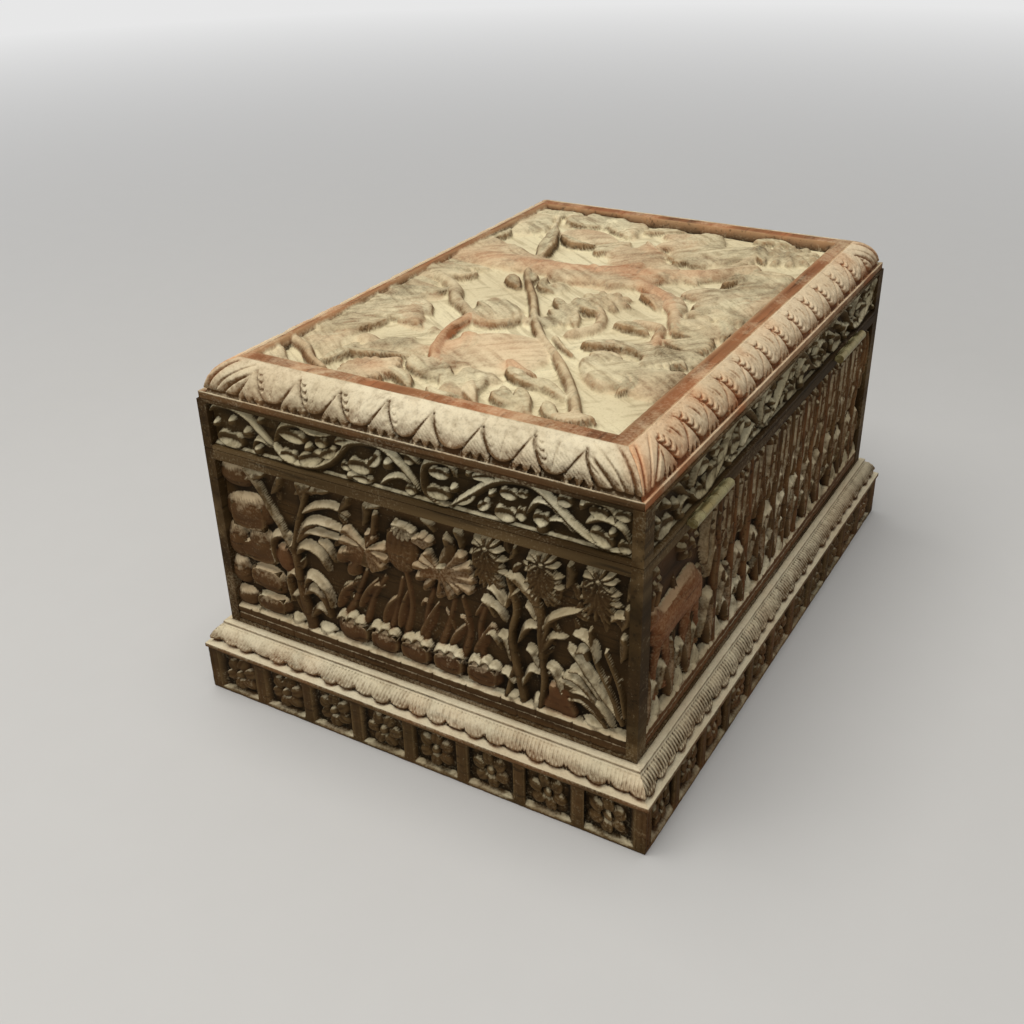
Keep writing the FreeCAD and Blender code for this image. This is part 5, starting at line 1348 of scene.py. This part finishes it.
def layBody(relief, side, number):
    # the picture of a long side or of an end, then the blocks along its foot
    variant = 0 if side["hand"] == 1 else 40
    layPicture = layLong if side["kind"] == "long" else layEnd
    layPicture(relief, variant)
    layCourse(relief, fieldSizes, number)


plainForms = {"long": longForms, "end": endForms}
for number, (name, side) in enumerate(sides.items()):
    makeField(f"body_{name}_carving", side, fieldSizes["bodyLow"], fieldSizes["bodyHigh"],
              fieldSizes["bodyDepth"], lambda relief: layBody(relief, side, number), bodyDust,
              woodAlong[name], "box", 50 + 7 * number, plainForms[side["kind"]])
    makeField(f"lid_{name}_carving", side, fieldSizes["friezeLow"], fieldSizes["friezeHigh"],
              fieldSizes["friezeDepth"], lambda relief: layFrieze(relief, side["kind"], fieldSizes),
              friezeDust, woodAlong[name], "lid", 90 + 7 * number)
    print("carved", name)


# Lid moulding with its leaves, base moulding with its reeds, plinth with its rosettes


def arcPoints(start, finish, radius, count):
    # the arc from start to finish that bulges outwards; its middle lies inside and below the chord
    start, finish = np.array(start), np.array(finish)
    chord = finish - start
    length = np.hypot(*chord)
    rise = math.sqrt(radius ** 2 - length ** 2 / 4)
    centre = (start + finish) / 2 + rise * np.array((-chord[1], chord[0])) / length
    angles = [math.atan2(*(point - centre)[::-1]) for point in (start, finish)]
    angle = np.linspace(angles[0], angles[1], count)
    return np.stack([centre[0] + radius * np.cos(angle), centre[1] + radius * np.sin(angle)], axis=-1)


def arcLength(arc):
    # the sum of its chords
    return np.hypot(*np.diff(arc, axis=0).T).sum()


def placesAlong(half, cell):
    # shares of a side's half length, from mitre to mitre
    return np.linspace(-1, 1, int(2 * half / cell) + 1)


# Profiles are (out, up) from the walls' face and from the table; a corner cut is place, lean, width and depth
leafRound = {
    "edgeOut": -0.8, "edgeLow": 151.75, "edgeRows": 6, "quirkOut": -1.4, "toe": (-2.0, 155.15),
    "top": (-14.0, 168.65), "radius": 15.0, "arcRows": 40, "cell": 0.5,
    "lip": ((-14.0, 158.65), (-20.0, 158.65), (-20.0, 151.75)),
    "corner": 27.6, "dartTop": 14.6, "groove": 1.25, "cornerTop": 19.4,
    "cornerCuts": ((2.4, 2.0, 0.7, 1.1), (6.5, 9.0, 0.7, 0.6), (10.5, 15.5, 1.2, 1.2)),
}
# the leaves' hollows lose dust: painted shade
leafDust = dict(bodyDust, far=4, upLow=0.12, upHigh=0.7, onTop=0.55, hollowDustAndShade=-0.35, film=0.3, ridgeLoss=0.2,
                rub=0.5, shade=0.62, redness=0.08, shadeFrom=0.2, shadeTo=1.3)
# What differs between the leaves of a long side and those of an end: count, reach of the darts, the nicks
# beside them, strokes and flame on a leaf's face, then redness and dust at rest, where worn, and painted
# shade in the cuts
leafKinds = {
    "long": {"leaves": 13, "dart": 6.2, "nicks": (5.0, 8.0, 11.0, 14.0), "nickBeside": 2.6, "nickBend": 0.3,
             "nickShift": 0.5, "nickReach": 2.2, "nickDepth": 1.1, "nickSway": 0.0, "strokes": 0.55,
             "flame": 0.6, "tone": 0.3, "wornTone": 0.5, "cutShadeTone": 0.3, "dust": 0.06, "wornDust": -0.28,
             "cutShadeDust": -0.42, "recipe": leafDust},
    "end": {"leaves": 8, "dart": 7.6, "nicks": (6.0, 9.0, 12.2), "nickBeside": 3.2, "nickBend": 0.55,
            "nickShift": 0.0, "nickReach": 1.5, "nickDepth": 0.7, "nickSway": 0.6, "strokes": 0.0,
            "flame": 0.0, "tone": 0.03, "wornTone": 0.1, "cutShadeTone": 0.0, "dust": -0.1, "wornDust": -0.05,
            "cutShadeDust": -0.1, "recipe": dict(leafDust, shade=0.42, film=0.34)},
}


def dartCut(x, t, leg, fall, tall, groove):
    # dart between two leaves, x from its middle and t up the round: its left leg a thin cut, its right leg a
    # broad soft one, a fissure above its top, three points along its foot
    away = np.abs(x) - leg
    outer = np.exp(-(np.clip(away, 0, 9) / np.where(x > 0, 1.35 - 0.4 * fall, 0.4)) ** 2)
    inner = np.exp(-(np.clip(-away, 0, 9) / 0.35) ** 2)
    legs = groove * np.where(x > 0, 0.85, 0.5) * outer * inner * (fall > 0) * smoothStep(0.2, 1.5, t)
    fissure = 0.7 * np.exp(-(x / 0.4) ** 2) * smoothStep(18.5, tall, t) * (fall <= 0)
    face = 0.1 + 0.75 * (np.abs(x) / (leg + 0.3)) ** 1.5
    gap = 2.6 * (1 - np.abs(np.cos(1.5 * np.pi * np.clip(x / (leg + 0.1), -1, 1)))) + 0.2
    points = np.where(t < gap, 1.7 * smoothStep(0, 0.5, gap - t), face)
    return legs + fissure + np.where((away < 0) & (fall > 0), points, 0)


def leafCut(x, t, leg, pitch, kind, wave):
    # leaf beside a dart: a broad swelling, a faint rib, its round foot cut free, crescent nicks beside the
    # dart's right leg; strokes and a flame where its kind has them
    onLeaf = np.abs(x) > leg
    beside = pitch / 2 - np.abs(x)
    share = np.clip(beside / np.maximum(pitch / 2 - leg, 0.5), 0, 1)
    swelling = 0.55 * share ** 3 * onLeaf
    rib = 0.5 * np.exp(-(beside / 0.6) ** 2) * smoothStep(2, 5, t) * smoothStep(17.5, 13, t)
    foot = 1.7 * smoothStep(0.5, -0.3, t - 1.3 - 2.2 * share ** 2.5) * onLeaf
    nick = x - leg - kind["nickBeside"]
    nicks = sum(np.exp(-((t - at - kind["nickBend"] * nick ** 2) / 0.45) ** 2) for at in kind["nicks"])
    nicks = 0.9 * nicks * np.exp(-((nick - kind["nickShift"]) / kind["nickReach"]) ** 4)
    nicks = np.clip(nicks * (kind["nickDepth"] + kind["nickSway"] * wave), 0, 1.6)
    line = (1 - np.abs(np.sin(np.pi * (x + 0.04 * (t - 8) ** 2) / 2.3))) ** 2
    strokes = kind["strokes"] * line * smoothStep(6, 11, t)
    flame = kind["flame"] * np.exp(-((x + 0.34 * pitch + 0.15 * t - 1) / 0.8) ** 2)
    return swelling + rib + foot + nicks + strokes + flame * smoothStep(5, 9, t) * smoothStep(18, 14, t)


def cornerCut(corner, t, sizes):
    # corner leaf: its inner border and two curved cuts open from the mitre's foot
    reachUp = (np.clip(t, 0, 20) / sizes["cornerTop"]) ** 1.2
    cuts = sum(depth * np.exp(-((corner - at - lean * reachUp) / width) ** 2)
               for at, lean, width, depth in sizes["cornerCuts"])
    cuts = cuts * smoothStep(0, 2, t) * smoothStep(sizes["cornerTop"], 16, t)
    return cuts + 1.2 * smoothStep(1.6, 0.8, t) + 0.5 * np.exp(-(corner / 0.5) ** 2)


def makeLeafRound(name, side, sizes, kind, shift):
    # plain edge, quirk and round of leaves; t runs up the round from its toe, u along the side
    half, toeHigh = side["half"], sizes["toe"][1]
    arc = arcPoints(sizes["toe"], sizes["top"], sizes["radius"], sizes["arcRows"])
    edgeRise = np.linspace(sizes["edgeLow"], toeHigh, sizes["edgeRows"])
    edge = np.stack([np.full_like(edgeRise, sizes["edgeOut"]), edgeRise], axis=-1)
    profile = np.vstack([edge, [(sizes["quirkOut"], toeHigh)], arc])
    along = placesAlong(half, sizes["cell"])
    u = along[:, None] * (half + profile[:, 0])
    t = np.concatenate([np.full(len(edge) + 1, -5.0), np.linspace(0, arcLength(arc), len(arc))])
    t = np.broadcast_to(t, u.shape)
    onArc = t >= 0
    pitch = 2 * (half - sizes["corner"]) / (kind["leaves"] - 1)
    place = u + half - sizes["corner"]
    number = np.clip(np.round(place / pitch), 0, kind["leaves"] - 1)
    tall = sizes["dartTop"] + 0.9 * np.sin(number * 4.1 + shift)
    x = (place - number * pitch + 0.5 * np.sin(number * 2.7 + shift)) * side["hand"] + 0.035 * (t - 6)
    # the dart's legs w = W (1 - t / T)^1.3 open towards the foot
    fall = np.clip(1 - t / tall, 0, 1)
    leg = kind["dart"] * fall ** 1.3
    wave = np.sin(number * 5.3 + shift)
    pattern = dartCut(x, t, leg, fall, tall, sizes["groove"]) + leafCut(x, t, leg, pitch, kind, wave)
    corner = half + profile[:, 0] - np.abs(u)
    share = smoothStep(sizes["corner"] - pitch * 0.36, sizes["corner"] - pitch * 0.5, corner)
    hatch = np.abs(0.05 + 0.05 * np.sin((u * 0.8 + t) * 2 * np.pi / 1.5) + 0.13 * mottle(u, t, 2.2, shift))
    carved = pattern * (1 - share) + cornerCut(corner, t, sizes) * share + hatch
    carved = carved * smoothStep(sizes["cornerTop"], 18.2, t)
    cut = -np.where(onArc, carved, 0.12 * np.abs(mottle(u, t, 4, shift)))
    # worn and reddened towards the corner that is handled
    worn = np.clip(mottle(u, t * 0.6, 12, shift + 3), 0, 1)
    mitre = smoothStep(9, 1.5, corner) * smoothStep(2, 8, t)
    # the deeper cuts lose dust and redden: painted shade in the cuts
    deepCutShade = smoothStep(0.45, 1.4, carved) * onArc
    tone = kind["tone"] + kind["wornTone"] * worn + 0.3 * mitre + kind["cutShadeTone"] * deepCutShade
    dust = kind["dust"] + kind["wornDust"] * worn - 0.14 * mitre - 0.16 * ~onArc + kind["cutShadeDust"] * deepCutShade
    mitredRun(f"lid_moulding_{name}_leaves", side, along, profile[:, 0], profile[:, 1], cut,
              np.array(sizes["lip"]), kind["recipe"], dustyAlong[name], "lid",
              f"lid_moulding_{name}", shift, tone, dust)


reedRound = {
    "ledgeOut": 10.3, "ledgeLow": 23.6, "ledgeTop": 26.1, "toe": 8.9, "neck": (3.2, 35.2), "radius": 10.5,
    "top": 37.0, "beadRound": 0.9, "beadBack": 1.2, "reed": 1.75, "lobe": 9.8, "arcRows": 20, "cell": 0.3,
}
# the reeds' hollows lose dust: painted shade
reedDust = dict(bodyDust, cell=0.3, far=5, upLow=0.2, upHigh=0.85, onTop=0.65, hollowDustAndShade=-0.3, film=0.2,
                patches=0.12, rub=0.35, redness=0.06, shadeFrom=0.12, shadeTo=0.9)
# Reeds of a long side are wider and deeper than those of an end
reedKinds = {"long": {"pace": 0.85, "depth": 1.25}, "end": {"pace": 1.0, "depth": 0.62}}


def reedProfile(sizes):
    # ledge with worn arrises, round, and a bead: a half circle drawn out to its height
    out, low, high = sizes["ledgeOut"], sizes["ledgeLow"], sizes["ledgeTop"]
    ledge = [(out - 0.25, low), (out, low + 0.3), (out, high - 0.5), (out - 0.2, high - 0.1),
             (out - 0.7, high)]
    arc = arcPoints((sizes["toe"], high), sizes["neck"], sizes["radius"], sizes["arcRows"])
    neckOut, neckHigh = sizes["neck"]
    turn = np.linspace(-np.pi / 2, np.pi / 2, 6)
    beadOut = neckOut - sizes["beadRound"] + sizes["beadRound"] * np.cos(turn)
    beadRise = (neckHigh + sizes["top"]) / 2 + (sizes["top"] - neckHigh) / 2 * np.sin(turn)
    bead = np.vstack([np.stack([beadOut, beadRise], axis=-1),
                      [(sizes["beadBack"], sizes["top"]), (0, sizes["top"])]])
    return np.array(ledge), arc, bead


def makeReedRound(name, side, sizes, kind, recipe, shift):
    # t runs up the round from its toe, negative on the ledge and far beyond it on the bead
    ledge, arc, bead = reedProfile(sizes)
    profile = np.vstack([ledge, arc, bead])
    length = arcLength(arc)
    t = np.concatenate([np.full(len(ledge), -9.0), np.linspace(0, length, len(arc)),
                        np.full(len(bead), 99.0)])
    along = placesAlong(side["half"], sizes["cell"])
    u = along[:, None] * (side["half"] + profile[:, 0])
    t = np.broadcast_to(t, u.shape)
    onArc = (t >= 0) & (t < 50)
    # reeds: |cos|^1/2 across the round
    slant = (u + 0.12 * t * np.sign(u)) * kind["pace"]
    reeds = kind["depth"] * (1 - np.sqrt(np.abs(np.cos(np.pi * slant / sizes["reed"]))))
    reeds = reeds * smoothStep(2.6, 4.2, t) * smoothStep(length, length - 1.4, t)
    reeds = reeds * (1 + 0.4 * mottle(u, 0.0, 11, shift + 5))
    # lobes: half circles along the round's foot, with a band of painted shade under each and dust below that
    place = u / sizes["lobe"] + 0.09 * np.sin(np.floor(u / sizes["lobe"]) * 3 + shift)
    lobe = place % 1.0 * 2 - 1
    foot = 4.9 - (3.0 + 0.5 * np.sin(np.floor(place) * 2.3)) * np.sqrt(np.clip(1 - lobe ** 2, 0, 1))
    under = smoothStep(0.2, -0.2, t - foot)
    # painted shade: a band under each lobe loses dust and reddens
    lobeShade = under * smoothStep(-1.9, -0.9, t - foot) * onArc
    line = 0.6 * np.exp(-((t - length + 0.8) / 0.4) ** 2)
    cut = -np.where(onArc, under * 1.6 * smoothStep(0, 1.0, t) + reeds * (1 - under) + line, 0)
    cut = cut - np.where(onArc, 0.05, 0.1) * np.abs(mottle(u, t, 3, shift))
    cut = cut - 0.12 * np.clip(mottle(u, 0.0, 9, shift), 0, 1)
    tone = 0.18 * np.abs(mottle(u, t * 0.2, 15, shift + 2)) + 0.2 * lobeShade
    dust = 0.22 * (t < 0) * (profile[:, 1] > sizes["ledgeTop"] - 0.2) + 0.1 * (t > 50)
    dust = dust + 0.4 * under * smoothStep(-1.6, -2.4, t - foot) * onArc - 0.75 * lobeShade
    dust = dust - 0.3 * (t < 0) * smoothStep(sizes["ledgeLow"] + 1.4, sizes["ledgeLow"], profile[:, 1])
    mitredRun(f"base_moulding_{name}_reeds", side, along, profile[:, 0], profile[:, 1], cut,
              np.array([(0.0, sizes["ledgeLow"])]), recipe, dustyAlong[name], "box",
              f"base_moulding_{name}", shift, tone, dust)


rosetteRail = {
    "out": 9.5, "height": 23.6, "seat": -12.0, "cornerBar": 5.0, "bar": 5.4, "low": 1.8, "high": 22.4,
    "depth": 3.0, "bays": {"long": 11, "end": 8}, "petals": 6, "petalMiddle": 5.7, "petalLong": 3.9,
    "petalWide": 3.1, "petalStand": 2.7, "ball": 2.3, "ballStand": 3.1, "moat": 1.2, "spandrel": 1.3,
    "flute": 0.45, "cell": 0.5,
}
railDust = dict(bodyDust, far=5, upLow=0.48, upHigh=1.0, onTop=0.76, film=-0.01, ridgeLoss=0.05, patches=0.08,
                rub=0.5, redness=0.1, shadeTo=1.3)


def rosette(x, y, turned, sizes):
    # round petals about a ball, each h (1 - ((r - m) / a)^2 - (w / b)^2)^0.45 with a dip along its middle
    # and a cut where it meets the next; a moat runs round the ball
    away, angle = np.hypot(x, y) + 1e-6, np.arctan2(y, x) + turned
    petals = np.zeros_like(x)
    for index in range(sizes["petals"]):
        turn = angle - 2 * np.pi * index / sizes["petals"]
        outward, beside = away * np.cos(turn), away * np.sin(turn)
        swell = 1 - ((outward - sizes["petalMiddle"]) / sizes["petalLong"]) ** 2
        swell = swell - (beside / sizes["petalWide"]) ** 2
        petal = sizes["petalStand"] * np.clip(swell, 0, 1) ** 0.45
        petal = petal - 0.55 * np.exp(-(beside / 0.8) ** 2) * (swell > 0.2)
        petals = np.where(petal > petals, petal, petals - 0.3 * (petal > 0.3) * (petals - petal < 0.35))
    ball = sizes["ballStand"] * np.sqrt(np.clip(1 - (away / sizes["ball"]) ** 2, 0, 1))
    moat = sizes["moat"] * np.exp(-((away - sizes["ball"] - 0.3) / 0.5) ** 2)
    return np.maximum(petals - moat, ball)


def makeRosetteRail(name, side, sizes, recipe, shift):
    # a flat rail with sunk bays; x and y are measured from the middle of the nearest bay
    height, low, high = sizes["height"], sizes["low"], sizes["high"]
    z = np.linspace(0, height, int(height / sizes["cell"]) + 1)
    out = np.full_like(z, sizes["out"])
    along = placesAlong(side["half"] + sizes["out"], sizes["cell"])
    u = along[:, None] * (side["half"] + out)
    z = np.broadcast_to(z, u.shape)
    run = 2 * (side["half"] + sizes["out"] - sizes["cornerBar"])
    bays = sizes["bays"][side["kind"]]
    pitch = (run + sizes["bar"]) / bays
    width = pitch - sizes["bar"]
    number = np.clip(np.floor((u + run / 2 + sizes["bar"] / 2) / pitch), 0, bays - 1)
    x = u + run / 2 - number * pitch - width / 2
    y = z - (low + high) / 2
    bay = smoothStep(0.0, 0.55, np.minimum(width / 2 - np.abs(x), (high - low) / 2 - np.abs(y)))
    spandrel = sizes["spandrel"] * np.clip((np.abs(x) + np.abs(y) - (width / 2 + 7.2)) / 1.2, 0, 1)
    flower = rosette(x, y, 0.5 * np.sin(number * 1.9 + shift), sizes)
    sunk = sizes["depth"] - np.maximum(flower, spandrel) - 0.25 * mottle(u, z, 2.5, shift)
    # bars: two flutes each, open at both ends; worn arrises at head and foot
    flutes = sizes["flute"] * np.clip(np.sin((np.abs(x) - width / 2) * 2 * np.pi / (sizes["bar"] / 2)), 0, 1)
    flutes = flutes * smoothStep(0, 2.5, np.minimum(z - 0.4, height - 0.6 - z)) * (np.abs(x) > width / 2)
    edge = 0.35 * (smoothStep(0.7, 0, z) + smoothStep(height - 0.6, height, z))
    plain = 0.1 * np.abs(mottle(u, z, 3, shift + 1)) + 0.15 * np.clip(mottle(u, z * 0.3, 8, shift + 4), 0, 1)
    cut = -(bay * np.clip(sunk, 0.15, sizes["depth"] + 0.2) + (1 - bay) * (flutes + plain) + edge)
    tone = 0.12 + 0.2 * mottle(u, z, 16, shift + 2)
    # below each rosette the bay's foot loses dust, and so does its deepest ground: painted shade; the lower
    # corners keep a little dust
    foot = smoothStep(4.5, 0.5, z - low) * bay
    dust = foot * (0.05 * smoothStep(5, 8, np.abs(x)) - 0.75 * smoothStep(8, 5, np.abs(x)))
    dust = dust - 0.06 * (1 - bay) - 0.25 * bay * (sunk > sizes["depth"] - 0.6)
    mitredRun(f"plinth_{name}_rosettes", side, along, out, z[0], cut,
              np.array([(sizes["seat"], height), (sizes["seat"], 0.0)]), recipe, woodAlong[name], "box",
              f"plinth_{name}", shift, tone, dust)


for number, (name, side) in enumerate(sides.items()):
    makeLeafRound(name, side, leafRound, leafKinds[side["kind"]], 120 + number)
    makeReedRound(name, side, reedRound, reedKinds[side["kind"]], reedDust, 130 + number)
    makeRosetteRail(name, side, rosetteRail, railDust, 140 + number)
    print("mouldings made for", name)


# Boards left plain, nails and hinges
metals = {
    "brass": {"base": (140, 124, 78), "dull": (104, 94, 62), "film": (158, 148, 104), "metal": 0.75,
              "rough": 0.38},
    "iron": {"base": (92, 84, 78), "dull": (74, 48, 34), "film": (120, 96, 74), "metal": 0.7, "rough": 0.5},
}


def agedMetal(name, sizes):
    # bright metal under a dull skin, with dust that gathers in patches
    shading = Shading(name)
    blotch, fine = shading.noise(140.0, detail=4.0), shading.noise(1500.0, detail=2.0)
    skin = shading.mix(shading.ramp(blotch, 0.35, 0.65), linear(*sizes["base"]), linear(*sizes["dull"]))
    film = shading.ramp(shading.plus(blotch, shading.times(fine, 0.4)), 0.62, 0.85)
    shading.join(shading.shader.inputs["Base Color"], shading.mix(film, skin, linear(*sizes["film"])))
    shading.join(shading.shader.inputs["Metallic"],
                 shading.minus(sizes["metal"], shading.times(film, 0.6), clamp=True))
    shading.join(shading.shader.inputs["Roughness"],
                 shading.plus(sizes["rough"], shading.times(film, 0.4), clamp=True))
    shading.join(shading.shader.inputs["Normal"], shading.bump(fine, 0.0001, 0.5))
    return shading.material


brass, iron = agedMetal("aged_brass", metals["brass"]), agedMetal("cut_nail_iron", metals["iron"])


def materialFor(node):
    if node.startswith("hinge"):
        return brass
    if node.endswith("nails"):
        return iron
    return plainAlong["right_end" if node.endswith("_end") else "front"]


for node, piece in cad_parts.items():
    for slot in piece.material_slots:
        slot.material = materialFor(node)
print("boards, nails and hinges finished")
